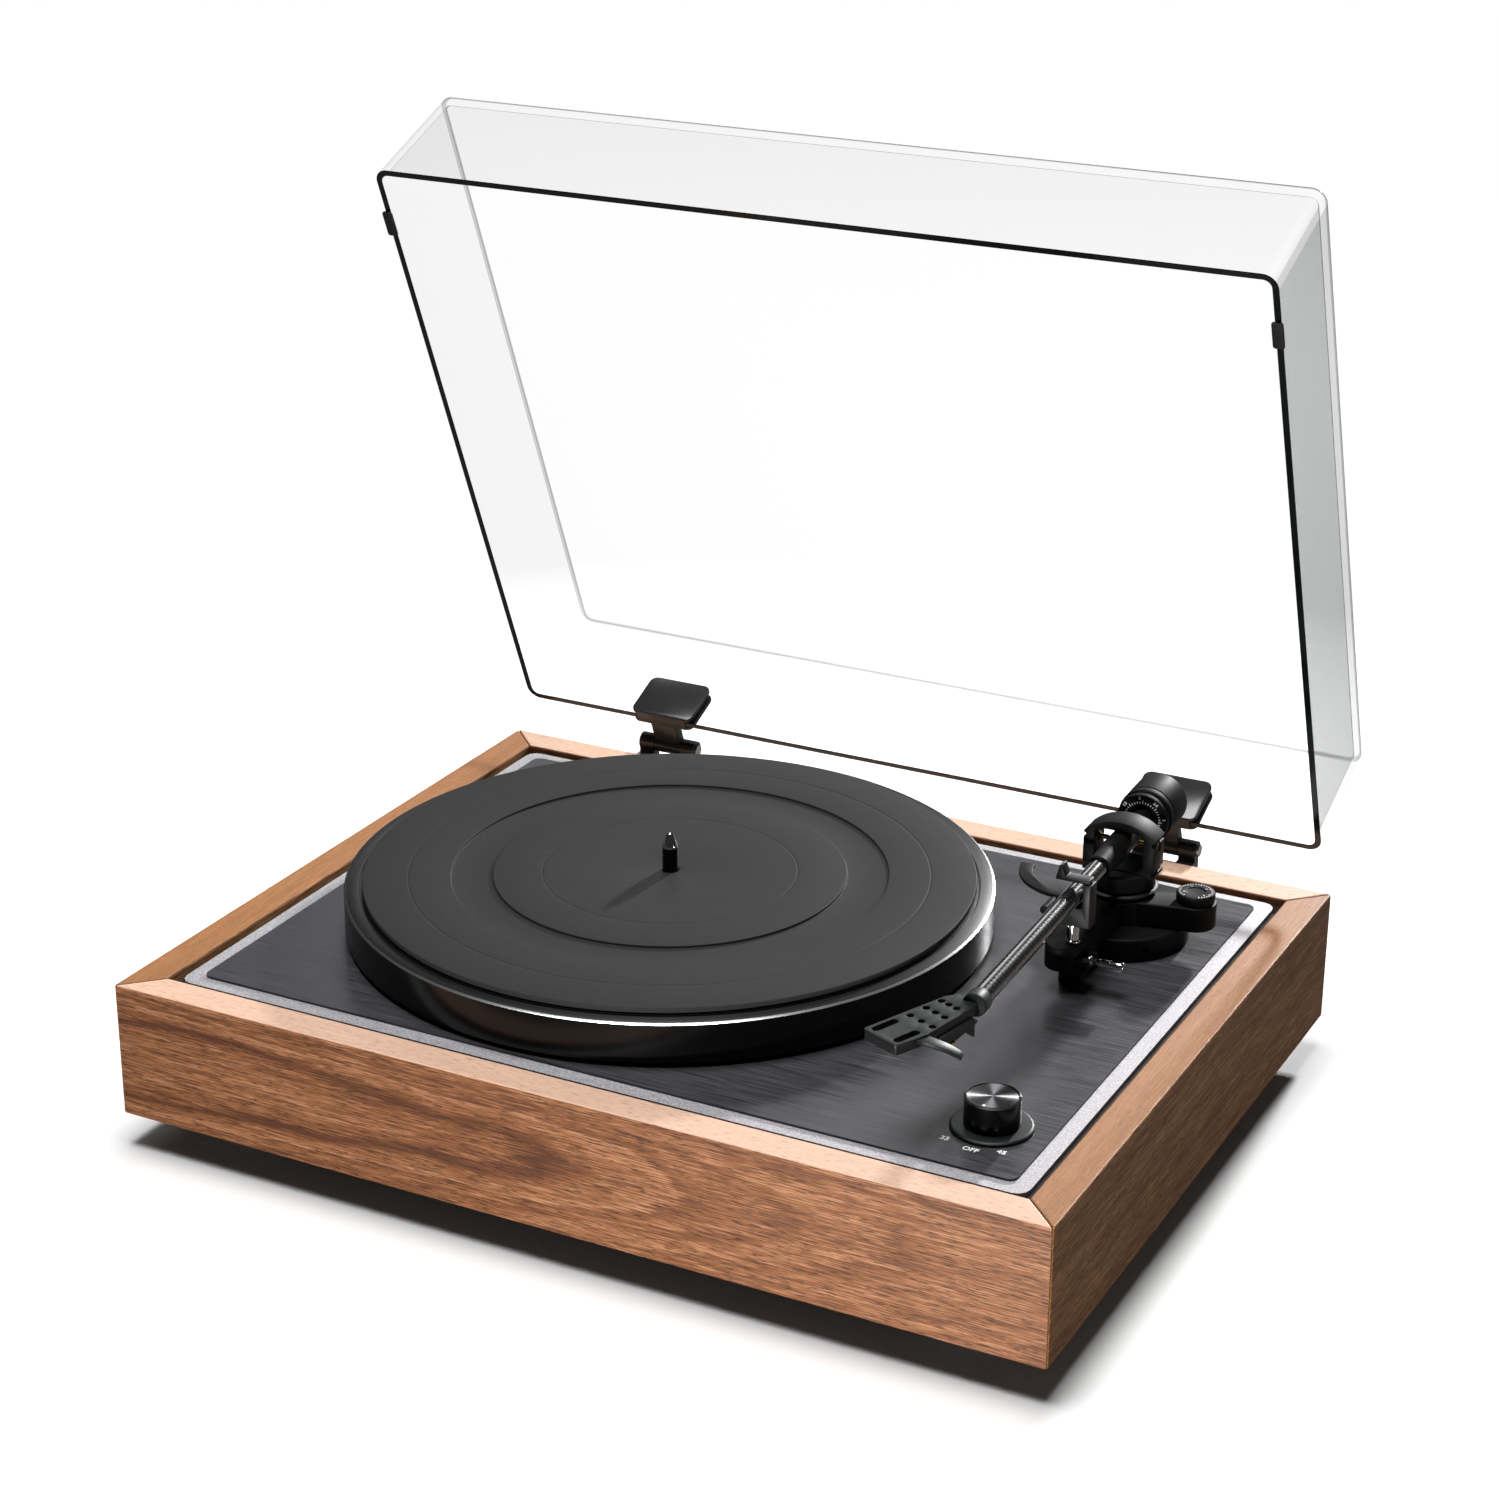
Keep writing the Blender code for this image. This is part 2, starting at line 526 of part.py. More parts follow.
def build_arm_base():
    """Drum on the panel, hub, the ear that carries the cueing and rest, and the anti-skate ear."""
    place = Matrix.Translation(ARM)
    low = PANEL_TOP + GAP
    base = turned("arm_base", [(0, -0.024), (STUD_R, -0.024), (STUD_R, low), (BASE_DRUM_R, low), (BASE_DRUM_R, BASE_DRUM_TOP - 0.0008),
                               (BASE_DRUM_R - 0.0008, BASE_DRUM_TOP), (BASE_HUB_R, BASE_DRUM_TOP), (BASE_HUB_R, BASE_TOP), (0, BASE_TOP)],
                  36, place, "black_satin")
    z0, z1 = BASE_DRUM_TOP - 0.0001, BASE_TOP + 0.0001
    front = [(EAR_X + EAR_R, -0.004)] + [(0.004, -0.001), (-0.006, -0.001), (-0.0105, -0.012)]
    front += arc(EAR_X, EAR_Y, EAR_R, 180, 360, 10)
    fuse(base, soften(prism("front_ear", front, z0, z1, place), 0.0008, 1, 60))
    side = [(0.002, 0.0135)] + [(0.002, -0.0135), (0.012, -0.0122)]
    side += arc(KNOB_EAR_X, KNOB_EAR_Y, KNOB_EAR_R, -95, 95, 12)
    fuse(base, soften(prism("side_ear", side, z0, BASE_TOP + 0.0001, place), 0.0008, 1, 60))
    for y0, y1 in ((LEVER_Y - 0.0072, LEVER_Y - LEVER_BALL_R - GAP), (LEVER_Y + LEVER_BALL_R + GAP, LEVER_Y + 0.0062)):
        lug = block("lever_lug", (EAR_X + EAR_R - 0.001, y0, LEVER_Z - 0.0026), (LEVER_X + 0.0020, y1, LEVER_Z + 0.0026), place)
        fuse(base, soften(lug, 0.0006, 1, 60))
    lever_at = ARM + Vector((LEVER_X, LEVER_Y, LEVER_Z))
    drill(base, 0, 0, 0.0012 + RUN, -0.0068, 0.0068, 12, along_y(lever_at))
    turned("arm_bearing_ring", [(0, BASE_TOP + GAP + 0.0001), (0.0160, BASE_TOP + GAP + 0.0001), (0.0160, RING_TOP - 0.0014), (RING_R, RING_TOP - 0.0012),
                                (RING_R, RING_TOP - 0.0008), (RING_R - 0.0012, RING_TOP), (0, RING_TOP)], 32, place, "black_satin")
    top = BASE_TOP + GAP + 0.0001
    skate = turned("anti_skate_knob", [(0, top), (SKATE_KNOB_R, top), (SKATE_KNOB_R, top + SKATE_KNOB_H - 0.0005),
                                       (SKATE_KNOB_R - 0.0005, top + SKATE_KNOB_H), (0, top + SKATE_KNOB_H)], 24,
                   ARM + Vector((KNOB_EAR_X, KNOB_EAR_Y, 0)), "black_satin")
    carry(axis_empty("anti_skate_axis", ARM + Vector((KNOB_EAR_X, KNOB_EAR_Y, top))), skate)
    turned("lift_stop_pin", [(0, top), (0.0022, top), (0.0022, top + 0.0014), (0.0011, top + 0.0018), (0.0011, top + 0.0085),
                             (0, top + 0.0085)], 12, ARM + Vector((-0.0005, -0.0426, 0)), "chrome")


def build_cueing():
    """Damped lift under the ear, curved blade under the tube, and the finger lever beside the ear."""
    at = ARM + Vector((CUE_X, CUE_Y, 0))
    low, ear_under = PANEL_TOP + GAP, BASE_DRUM_TOP - 0.0001
    bore = PISTON_R + RUN
    turned("cue_cylinder", [(0, low), (CUE_CYL_R, low), (CUE_CYL_R, ear_under - GAP), (bore, ear_under - GAP), (bore, low + 0.003),
                            (0, low + 0.003)], 16, at, "black_satin")
    drill(bpy.data.objects["arm_base"], CUE_X, CUE_Y, bore, 0, BASE_TOP + 0.01, 12, Matrix.Translation(ARM))
    blade = []
    blade += arc(BLADE_ARC_X, BLADE_ARC_Y, BLADE_ARC_R + BLADE_W / 2, BLADE_A0, BLADE_A1, 16)
    blade += arc(BLADE_ARC_X, BLADE_ARC_Y, BLADE_ARC_R - BLADE_W / 2, BLADE_A1, BLADE_A0, 14)
    bar = prism("cue_bar", blade, CUE_TOP - BLADE_T, CUE_TOP, Matrix.Translation(ARM), "black_satin")
    fuse(bar, turned("piston", [(0, low + 0.006), (PISTON_R, low + 0.006), (PISTON_R, CUE_TOP - 0.0006), (0, CUE_TOP - 0.0006)], 12, at))
    peg_at = ARM + Vector((-0.0095, -0.0560, CUE_TOP - 0.0026))
    fuse(bar, turned("bar_peg", [(0, 0), (0.0021, 0), (0.0021, 0.0145), (0.0016, 0.0152), (0, 0.0152)], 10, along_y(peg_at)))
    carry(axis_empty("cue_lift_axis", at + Vector((0, 0, CUE_TOP))), bar)

    pivot = ARM + Vector((LEVER_X, LEVER_Y, LEVER_Z))
    reach = 0.0060
    lever = turned("cue_lever", [(0, -reach), (0.0012, -reach), (0.0012, -LEVER_BALL_R * 0.88)] +
                   [(LEVER_BALL_R * math.cos(math.radians(a)), LEVER_BALL_R * math.sin(math.radians(a))) for a in (-45, -20, 0, 20, 45)] +
                   [(0.0012, LEVER_BALL_R * 0.88), (0.0012, reach - 0.0004), (0, reach - 0.0004)], 12, along_y(pivot), "chrome")
    handle = turned("lever_handle", [(0, 0.0005), (0.0013, 0.0005), (0.0014, 0.0040), (0.0021, 0.0048), (0.0024, LEVER_LEN - 0.0008),
                                     (0.0020, LEVER_LEN), (0, LEVER_LEN)], 12, along_x(pivot))
    fuse(lever, handle)
    carry(axis_empty("cue_lever_axis", pivot), lever)


def build_arm_rest():
    at = ARM + Vector((REST_X, REST_Y, 0))
    top = BASE_TOP + GAP + 0.0001
    turned("rest_post", [(0, top), (REST_POST_R, top), (REST_POST_R, REST_Z0 - GAP), (0, REST_Z0 - GAP)], 14, at, "chrome")
    side = TUBE_R + 0.0006
    wall = 0.0036
    place = Matrix.Translation(at)
    cradle = block("rest_block", (-0.0050, -REST_HALF_D, REST_Z0), (side + wall, REST_HALF_D, REST_Z1), place, "black_plastic")
    fuse(cradle, block("rest_upright", (side, -REST_HALF_D, REST_Z1 - 0.001), (side + wall, REST_HALF_D, LATCH_Z - GAP), place))
    hinge = at + Vector((side + wall / 2, 0, LATCH_Z + LATCH_T / 2))
    # The latch bar lies over the tube and ends in an upright finger tab.
    hub = side + wall / 2
    profile = arc(hub, LATCH_Z + LATCH_T / 2, LATCH_T / 2, -90, 90, 6)
    profile += [(-0.0036, LATCH_Z + LATCH_T), (-0.0056, FIN_TOP), (-0.0066, FIN_TOP), (-0.0084, LATCH_Z)]
    latch = prism("rest_latch", profile, -REST_HALF_D + 0.0010, REST_HALF_D - 0.0010,
                  Matrix.Translation(at) @ Matrix.Rotation(math.radians(90), 4, "X"), "black_plastic")
    carry(axis_empty("rest_latch_axis", hinge), latch)


def build_yoke():
    place = arm_place()
    rise_r = (YOKE_HALF_W ** 2 + YOKE_RISE ** 2) / (2 * YOKE_RISE)
    half_angle = math.degrees(math.asin(YOKE_HALF_W / rise_r))
    w, n = YOKE_HALF_W, 0.0011
    right = [(w, -0.0145), (w, -0.0130), (w - n, -0.0127), (w - n, -0.0112), (w, -0.0109), (w, 0.0014), (w - n, 0.0017),
             (w - n, 0.0032), (w, 0.0035)]
    crown = arc(0, YOKE_SHOULDER + YOKE_RISE - rise_r, rise_r, 90 - half_angle, 90 + half_angle, 12)
    left = [(-x, z) for x, z in reversed(right)]
    upright = place @ Matrix.Rotation(math.radians(90), 4, "X")
    yoke = prism("arm_yoke", right + crown + left, -YOKE_HALF_D, YOKE_HALF_D, upright, "black_satin")
    fuse(yoke, turned("yoke_foot", [(0, YOKE_FOOT), (YOKE_FOOT_R, YOKE_FOOT), (YOKE_FOOT_R, -0.0125), (0, -0.0125)], 28, place))
    inner = YOKE_HALF_W - YOKE_LEG
    window = rounded(-inner, YOKE_WINDOW_BOTTOM, inner, YOKE_WINDOW_TOP, 0.003, 3)
    cut(yoke, prism("yoke_window", window, -0.02, 0.02, upright))
    hole = turned("screw_hole", [(0, -0.03), (SCREW_R + GAP, -0.03), (SCREW_R + GAP, 0.03), (0, 0.03)], 16, place @ along_x((0, 0, 0)))
    cut(yoke, hole)
    carry(axis_empty("arm_yaw_axis", ARM + Vector((0, 0, ARM_Z))), yoke)
    axis = bpy.data.objects["arm_yaw_axis"]
    for name, toward in (("left", -1), ("right", 1)):
        screw = turned(f"pivot_screw_{name}", [(0, COLLAR_R + GAP), (0.0012, COLLAR_R + GAP + 0.0012), (0.0012, inner - 0.0010), (SCREW_R, inner),
                                               (SCREW_R, YOKE_HALF_W - 0.0006), (0, YOKE_HALF_W - 0.0006)], 16,
                       place @ along_x((0, 0, 0), toward), "brass")
        slot = block("slot", (-0.0003, -0.004, YOKE_HALF_W - 0.0012), (0.0003, 0.004, YOKE_HALF_W), place @ along_x((0, 0, 0), toward)
                     @ Matrix.Rotation(math.radians(35), 4, "Z"))
        cut(screw, slot)
        carry(axis, screw)


def build_arm():
    """Collar with its rear stub, tube, headshell, leads, dial and counterweight: all on the pitch axis."""
    place = arm_place(pitch=True)
    pitch = axis_empty("arm_pitch_axis", ARM + Vector((0, 0, ARM_Z)))
    forward = place @ along_y((0, 0, 0))
    bore = TUBE_R + GAP
    collar = turned("arm_collar", [(0, -STUB_END), (STUB_R, -STUB_END), (STUB_R, -0.0094), (COLLAR_R, -0.0090), (COLLAR_R, 0.0100),
                                   (COLLAR_R + 0.0003, 0.0140), (0.0054, COLLAR_FRONT - 0.0008), (0.0051, COLLAR_FRONT), (bore, COLLAR_FRONT),
                                   (bore, COLLAR_FRONT - 0.012), (0, COLLAR_FRONT - 0.012)], 20, forward, "black_satin")
    rear = COLLAR_FRONT - 0.012 + GAP
    tube = turned("arm_tube", [(0, rear), (TUBE_R, rear), (TUBE_R, TUBE_END), (0, TUBE_END)], 18, forward, "carbon")
    hole = STUB_R + RUN
    dial = turned("weight_dial", [(hole, -DIAL_FROM - DIAL_T), (DIAL_R, -DIAL_FROM - DIAL_T), (DIAL_R, -DIAL_FROM - 0.0005),
                                  (DIAL_R - 0.0005, -DIAL_FROM), (hole, -DIAL_FROM)], 28, forward, "black_satin", closed=True)
    z1 = -DIAL_FROM - DIAL_T - GAP
    weight = turned("counterweight", [(hole, z1 - WEIGHT_T), (WEIGHT_R - 0.0012, z1 - WEIGHT_T), (WEIGHT_R, z1 - WEIGHT_T + 0.0012),
                                      (WEIGHT_R, z1 - 0.0008), (WEIGHT_R - 0.0008, z1), (hole, z1)], 30, forward, "black_satin", closed=True)
    carry(pitch, collar, tube, dial, weight)
    build_headshell(place, pitch)


def head_place(place):
    """The headshell's frame: zero at its front left corner's top, +Y to the rear, +X to the right."""
    turn = Matrix.Rotation(math.radians(-HEAD_ANGLE), 4, "Z")
    neck = place @ Vector((0, -TUBE_END, 0))
    joint = Vector((0.0110, HEAD_LEN + HEAD_NECK, -HEAD_RAISE))
    base = place.to_3x3().to_4x4() @ turn
    return Matrix.Translation(neck - base @ joint) @ base


def build_headshell(place, pitch):
    head = head_place(place)
    w, t = HEAD_W, HEAD_T
    outline = [(0.0010, 0), (w - 0.0012, 0), (w - 0.0003, 0.0004), (w, 0.0012), (w + 0.0010, 0.0165), (0.0155, HEAD_LEN - 0.004),
               (0.0145, HEAD_LEN), (0.0030, HEAD_LEN), (0.0008, HEAD_LEN - 0.005), (0, 0.0010)]
    shell = soften(prism("headshell", outline, -t, 0, head, "black_satin"), 0.0004, 1, 50)
    # Side web below the right edge, deepening towards the neck.
    slope = math.atan2(w + 0.0010 - 0.0155, HEAD_LEN - 0.004 - 0.0165)
    web_length = (HEAD_LEN - 0.004 - 0.0165) / math.cos(slope)
    web = [(0, -0.004), (0, -0.0046), (web_length * 0.60, -0.0090), (web_length * 0.78, -0.0080), (web_length * 0.86, -0.0100),
           (web_length * 0.98, -0.0128), (web_length * 0.98, -0.004)]
    web_at = head @ Matrix.Translation((w + 0.0010, 0.0165, 0)) @ Matrix.Rotation(slope + math.radians(90), 4, "Z")
    fuse(shell, prism("side_web", web, 0, 0.0020, web_at @ Matrix.Rotation(math.radians(90), 4, "X") @ Matrix.Translation((0, 0, -0.0001))))
    # Socket round the tube's end.
    forward = place @ along_y((0, 0, 0))
    r = TUBE_R + GAP
    socket = turned("socket", [(0, TUBE_END + GAP), (r, TUBE_END + GAP), (r, TUBE_END - 0.0050), (r + 0.0012, TUBE_END - 0.0050),
                               (r + 0.0012, TUBE_END + 0.0036), (0, TUBE_END + 0.0036)], 18, forward)
    fuse(shell, socket)
    # Finger lift: a strip that leaves the right edge and curls down.
    bm = bmesh.new()
    spine = [(w - 0.002, 0.0135, -0.0010, 0.0030), (w + 0.002, 0.0140, -0.0008, 0.0029), (w + 0.006, 0.0160, -0.0014, 0.0026),
             (w + 0.0095, 0.0190, -0.0030, 0.0023), (w + 0.0125, 0.0225, -0.0056, 0.0020), (w + 0.0135, 0.0236, -0.0068, 0.0018)]
    loops = []
    for x, y, z, half in spine:
        loops.append([bm.verts.new(p) for p in ((x + 0.5 * half, y - half, z), (x - 0.5 * half, y + half, z),
                                                (x - 0.5 * half, y + half, z - 0.0018), (x + 0.5 * half, y - half, z - 0.0018))])
    for a, b in zip(loops, loops[1:]):
        for i in range(4):
            bm.faces.new((a[i], a[(i + 1) % 4], b[(i + 1) % 4], b[i]))
    bm.faces.new(loops[0])
    bm.faces.new(loops[-1])
    fuse(shell, add("finger_lift", bm, head))
    for back, row in ((0.0222, (0.0040, 0.0106, 0.0170)), (0.0316, (0.0034, 0.0088, 0.0142)), (0.0405, (0.0030, 0.0073, 0.0117))):
        for x in row:
            drill(shell, x, back, HEAD_HOLE_R, -0.006, 0.002, 10, head)
    for x in (0.0036, 0.0036 + HEAD_SLOT_PITCH):
        slot = rounded(x - HEAD_SLOT_W / 2, 0.0020, x + HEAD_SLOT_W / 2, 0.0020 + HEAD_SLOT_L, HEAD_SLOT_W / 2 - 0.00001, 3)
        cut(shell, prism("slot", slot, -0.006, 0.002, head))
    carry(pitch, shell)

    # Four leads leave the socket's underside, run forward and turn back on themselves, one inside the other.
    for i, name in enumerate(("white", "green", "red", "blue")):
        step = 0.0011 * i
        x0, x1, front = 0.0096 + step, 0.0178 - step, 0.0246 + step
        under, end = -0.0107 + 0.15 * step, 0.0310 + 1.9 * step
        route = [(x0 + 0.0004, 0.0508, -0.0081), (x0 + 0.0002, 0.0500, -0.0096), (x0, 0.0460, under), (x0 - 0.0004, 0.0370, under - 0.0006),
                 (x0, front + 0.0050, under - 0.0004), (x0 + 0.30 * (x1 - x0), front + 0.0010, under), (x0 + 0.70 * (x1 - x0), front + 0.0010, under),
                 (x1, front + 0.0045, under), (x1, end, under)]
        carry(pitch, lead(f"lead_{name}", route, head))


def lead(name, route, place):
    """A thin wire: a smooth curve through the route's points."""
    pts = [Vector(p) for p in route]
    ends = [pts[0] * 2 - pts[1]] + pts + [pts[-1] * 2 - pts[-2]]
    line = []
    for a, b, c, d in zip(ends, ends[1:], ends[2:], ends[3:]):
        for k in range(2):
            t = k / 2
            line.append(0.5 * ((2 * b) + (c - a) * t + (2 * a - 5 * b + 4 * c - d) * t ** 2 + (3 * b - a - 3 * c + d) * t ** 3))
    line.append(pts[-1])
    curve = bpy.data.curves.new(name, "CURVE")
    curve.dimensions = "3D"
    curve.bevel_depth = LEAD_D / 2
    curve.bevel_resolution = 2
    curve.render_resolution_u = 0
    curve.use_fill_caps = True
    spline = curve.splines.new("POLY")
    spline.points.add(len(line) - 1)
    for point, at in zip(spline.points, line):
        point.co = (*at, 1)
    obj = bpy.data.objects.new(name, curve)
    bpy.context.collection.objects.link(obj)
    obj.matrix_world = place
    curve.materials.append(surface(name))
    return obj


# ---------------------------------------------------------------- dust cover
def build_cover():
    w, d, h, t = LID_W / 2, LID_D / 2, LID_H, LID_WALL
    z = LID_RIM_Z
    cover = prism("dust_cover", rounded(-w, -d, w, d, LID_CORNER_R, 4), z, z + h, None, "clear_acrylic")
    top_edges = soften(cover, LID_EDGE_R, 2, 60)
    cut(top_edges, prism("cover_inside", rounded(-w + t, -d + t, w - t, d - t, LID_CORNER_R - t, 3), z - 0.01, z + h - t))
    axis = axis_empty("lid_hinge_axis", Vector((0, HINGE_Y, HINGE_Z)))
    pieces = [cover]
    for name, sx in (("left", -1), ("right", 1)):
        x = sx * HINGE_X
        pieces.append(hinge_leaf(name, x))
        cut(cover, block("leaf_notch", (x - HINGE_W / 2 + 0.0030 - GAP, d - t - 0.005, z - 0.01), (x + HINGE_W / 2 - 0.0030 + GAP, d + 0.005, z + 0.0045)))
        inner = sx * (w - t / 2)
        y1 = -d + BUMPER_FROM_FRONT + BUMPER_L
        pieces.append(prism(f"bumper_{name}", rounded(inner - BUMPER_W / 2, y1 - BUMPER_L, inner + BUMPER_W / 2, y1, 0.0008, 2),
                            z - GAP - BUMPER_T, z - GAP, None, "rubber"))
        hinge_bracket(name, x)
    carry(axis, *pieces)
    axis.rotation_euler.x = math.radians(-LID_OPEN)
    bpy.context.view_layer.update()


def hinge_leaf(name, x):
    """A clip over the cover's rear wall with an arm back to the hinge line."""
    d, z = LID_D / 2, LID_RIM_Z
    inner, outer = d - LID_WALL - GAP, d + GAP
    half = HINGE_W / 2
    face = rounded(x - half, z - 0.0004, x + half, z + LEAF_H, 0.004, 3)
    upright = Matrix.Rotation(math.radians(90), 4, "X")
    leaf = prism(f"hinge_leaf_{name}", face, -inner, -inner + LEAF_T, upright, "black_satin")
    fuse(leaf, prism("outer_leaf", face, -outer - LEAF_T, -outer, upright))
    fuse(leaf, block("leaf_web", (x - half + 0.0032, inner - 0.001, z - 0.0004), (x + half - 0.0032, outer + 0.001, z + 0.0040)))
    fuse(leaf, block("leaf_arm", (x - KNUCKLE_HALF + GAP, outer + LEAF_T - 0.001, z + 0.0001), (x + KNUCKLE_HALF - GAP, HINGE_Y, HINGE_Z + 0.0038)))
    knuckle = turned("leaf_knuckle", [(0, -KNUCKLE_HALF + GAP), (KNUCKLE_R, -KNUCKLE_HALF + GAP), (KNUCKLE_R, KNUCKLE_HALF - GAP), (0, KNUCKLE_HALF - GAP)],
                     14, along_x((x, HINGE_Y, HINGE_Z)))
    fuse(leaf, knuckle)
    return drill(leaf, 0, 0, PIN_R + RUN, -0.02, 0.02, 10, along_x((x, HINGE_Y, HINGE_Z)))


def hinge_bracket(name, x):
    """Plate on the plinth's back with a knuckle each side of the leaf's, and the pin through them."""
    y0 = PLINTH_D / 2 + GAP
    width = HINGE_W / 2 - 0.0014
    bracket = block(f"hinge_bracket_{name}", (x - width, y0, -0.034), (x + width, y0 + 0.0025, -0.0012), None, "steel")
    place = along_x((x, HINGE_Y, HINGE_Z))
    for z0, z1 in ((-width, -KNUCKLE_HALF), (KNUCKLE_HALF, width)):
        fuse(bracket, turned("knuckle", [(0, z0), (KNUCKLE_R, z0), (KNUCKLE_R, z1), (0, z1)], 14, place))
        fuse(bracket, block("knuckle_arm", (x + z0, y0 + 0.001, -0.0095), (x + z1, HINGE_Y + 0.002, -0.0012)))
        fuse(bracket, block("knuckle_rib", (x + z0, HINGE_Y - 0.0035, -0.0020), (x + z1, HINGE_Y + 0.002, HINGE_Z)))
    drill(bracket, 0, 0, PIN_R + RUN, -0.03, 0.03, 10, place)
    pin = width + 0.0012
    turned(f"hinge_pin_{name}", [(0, -pin), (PIN_R, -pin), (PIN_R, width + GAP), (PIN_R + 0.0012, width + GAP), (PIN_R + 0.0012, pin), (0, pin)],
           10, place, "chrome")


# ---------------------------------------------------------------- assembly
def gather():
    """Parents everything to one root and stands the middle of the assembly's box on the origin."""
    root = axis_empty("turntable_root", Vector((0, 0, 0)))
    bpy.context.view_layer.update()
    carry(root, *[o for o in bpy.context.collection.objects if o.parent is None and o is not root])
    bpy.context.view_layer.update()
    graph = bpy.context.evaluated_depsgraph_get()
    points = []
    for obj in bpy.context.collection.objects:
        if obj.type == "MESH" and not obj.hide_render:
            shape = obj.evaluated_get(graph)
            points += [shape.matrix_world @ v.co for v in shape.data.vertices]
    y = [p.y for p in points]
    root.location = (0, -(min(y) + max(y)) / 2, -FLOOR_Z)
    bpy.context.view_layer.update()


def main():
    for obj in list(bpy.data.objects):
        bpy.data.objects.remove(obj, do_unlink=True)
    build_plinth()
    build_terminals()
    build_drive()
    build_speed_control()
    build_arm_base()
    build_cueing()
    build_arm_rest()
    build_yoke()
    build_arm()
    build_cover()
    axis = axis_empty("platter_axis", SPINDLE)
    carry(axis, *[bpy.data.objects[n] for n in ("spindle", "platter", "platter_mat")])
    carry(axis_empty("motor_axis", PULLEY), bpy.data.objects["motor_pulley"])
    gather()


main()
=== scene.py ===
"""Belt-drive turntable with a walnut plinth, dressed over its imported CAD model.

Each sub-assembly is a class that keeps its sizes as fields, builds the pieces that show and gives them their
finish. Lengths are metres and Z is up. Places are read from the CAD nodes and from the joints of the record.
"""

import json
import logging
import math
from dataclasses import dataclass
from enum import Enum
from typing import Any, Iterable, Sequence

import bmesh
import bpy
from mathutils import Matrix, Vector


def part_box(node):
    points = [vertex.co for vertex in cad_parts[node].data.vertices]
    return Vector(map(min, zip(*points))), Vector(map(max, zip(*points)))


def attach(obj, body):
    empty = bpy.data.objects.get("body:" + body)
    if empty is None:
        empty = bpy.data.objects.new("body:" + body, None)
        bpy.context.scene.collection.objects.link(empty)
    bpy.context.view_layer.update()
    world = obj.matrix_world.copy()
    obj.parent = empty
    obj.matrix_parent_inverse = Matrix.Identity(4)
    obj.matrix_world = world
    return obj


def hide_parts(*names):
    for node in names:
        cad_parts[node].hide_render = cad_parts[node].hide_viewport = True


LOG = logging.getLogger("turntable")
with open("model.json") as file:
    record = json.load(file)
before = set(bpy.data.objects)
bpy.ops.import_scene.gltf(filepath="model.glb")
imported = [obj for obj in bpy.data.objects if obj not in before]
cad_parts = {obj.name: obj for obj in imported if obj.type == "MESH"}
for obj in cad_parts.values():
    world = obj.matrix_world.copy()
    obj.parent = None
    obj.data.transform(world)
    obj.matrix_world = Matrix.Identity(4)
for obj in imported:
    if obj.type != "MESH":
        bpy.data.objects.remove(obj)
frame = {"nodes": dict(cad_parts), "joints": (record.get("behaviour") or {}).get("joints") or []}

Point = tuple[float, float]
Line = list[Point]
IDENTITY = Matrix.Identity(4)
SHARP = 38.0    # degrees from which an edge stays sharp
GAP = 0.0003    # clearance between neighbouring pieces


class Body(Enum):
    """The bodies that pieces ride on."""

    PLINTH = "plinth"
    PLATTER = "platter"
    SPEED = "speed_knob"
    COVER = "cover"
    YOKE = "yoke"
    ARM = "arm"
    DIAL = "dial"
    WEIGHT = "weight"
    SKATE = "anti_skate_knob"
    LEVER = "cue_lever"
    CUE_BAR = "cue_bar"
    LATCH = "rest_latch"


class Grain(Enum):
    """The way a board's grain runs."""

    ALONG_X = 0.0
    ALONG_Y = 90.0


# ---------------------------------------------------------------- materials
def linear(code: str, alpha: float = 1.0) -> tuple[float, float, float, float]:
    """Turns an sRGB hex colour to linear light.

    Args:
        code: The colour, such as "#a87a56".
        alpha: The fourth value.

    Returns:
        Red, green, blue and alpha.
    """
    parts = [int(code[i:i + 2], 16) / 255 for i in (1, 3, 5)]
    r, g, b = [c / 12.92 if c <= 0.04045 else ((c + 0.055) / 1.055) ** 2.4 for c in parts]
    return r, g, b, alpha


def per_mm(size: float) -> float:
    """The texture scale at which one feature is size millimetres long."""
    return 1000.0 / size


def stretched(long_mm: float, wide_mm: float) -> tuple[float, float, float]:
    """The texture scale of a feature that is drawn out along X."""
    return per_mm(long_mm), per_mm(wide_mm), per_mm(wide_mm)


def add_node(tree: bpy.types.NodeTree, kind: str, settings: dict[Any, Any] | None = None,
             links: dict[Any, bpy.types.NodeSocket] | None = None) -> bpy.types.Node:
    """Adds one node with its settings and links.

    Args:
        tree: The node tree it goes in.
        kind: The node's type, such as "ShaderNodeTexNoise".
        settings: Values by property name, or by input name or number; "stops" fills a colour ramp.
        links: The socket that feeds each input, by the input's name or number.

    Returns:
        The new node.
    """
    made = tree.nodes.new(kind)
    for key, value in (settings or {}).items():
        if key == "stops":
            stops = made.color_ramp.elements
            stops.remove(stops[1])
            stops[0].position, stops[0].color = value[0]
            for at, colour in value[1:]:
                stops.new(at).color = colour
        elif isinstance(key, int) or key in made.inputs:
            made.inputs[key].default_value = value
        else:
            setattr(made, key, value)
    for key, source in (links or {}).items():
        tree.links.new(source, made.inputs[key])
    return made


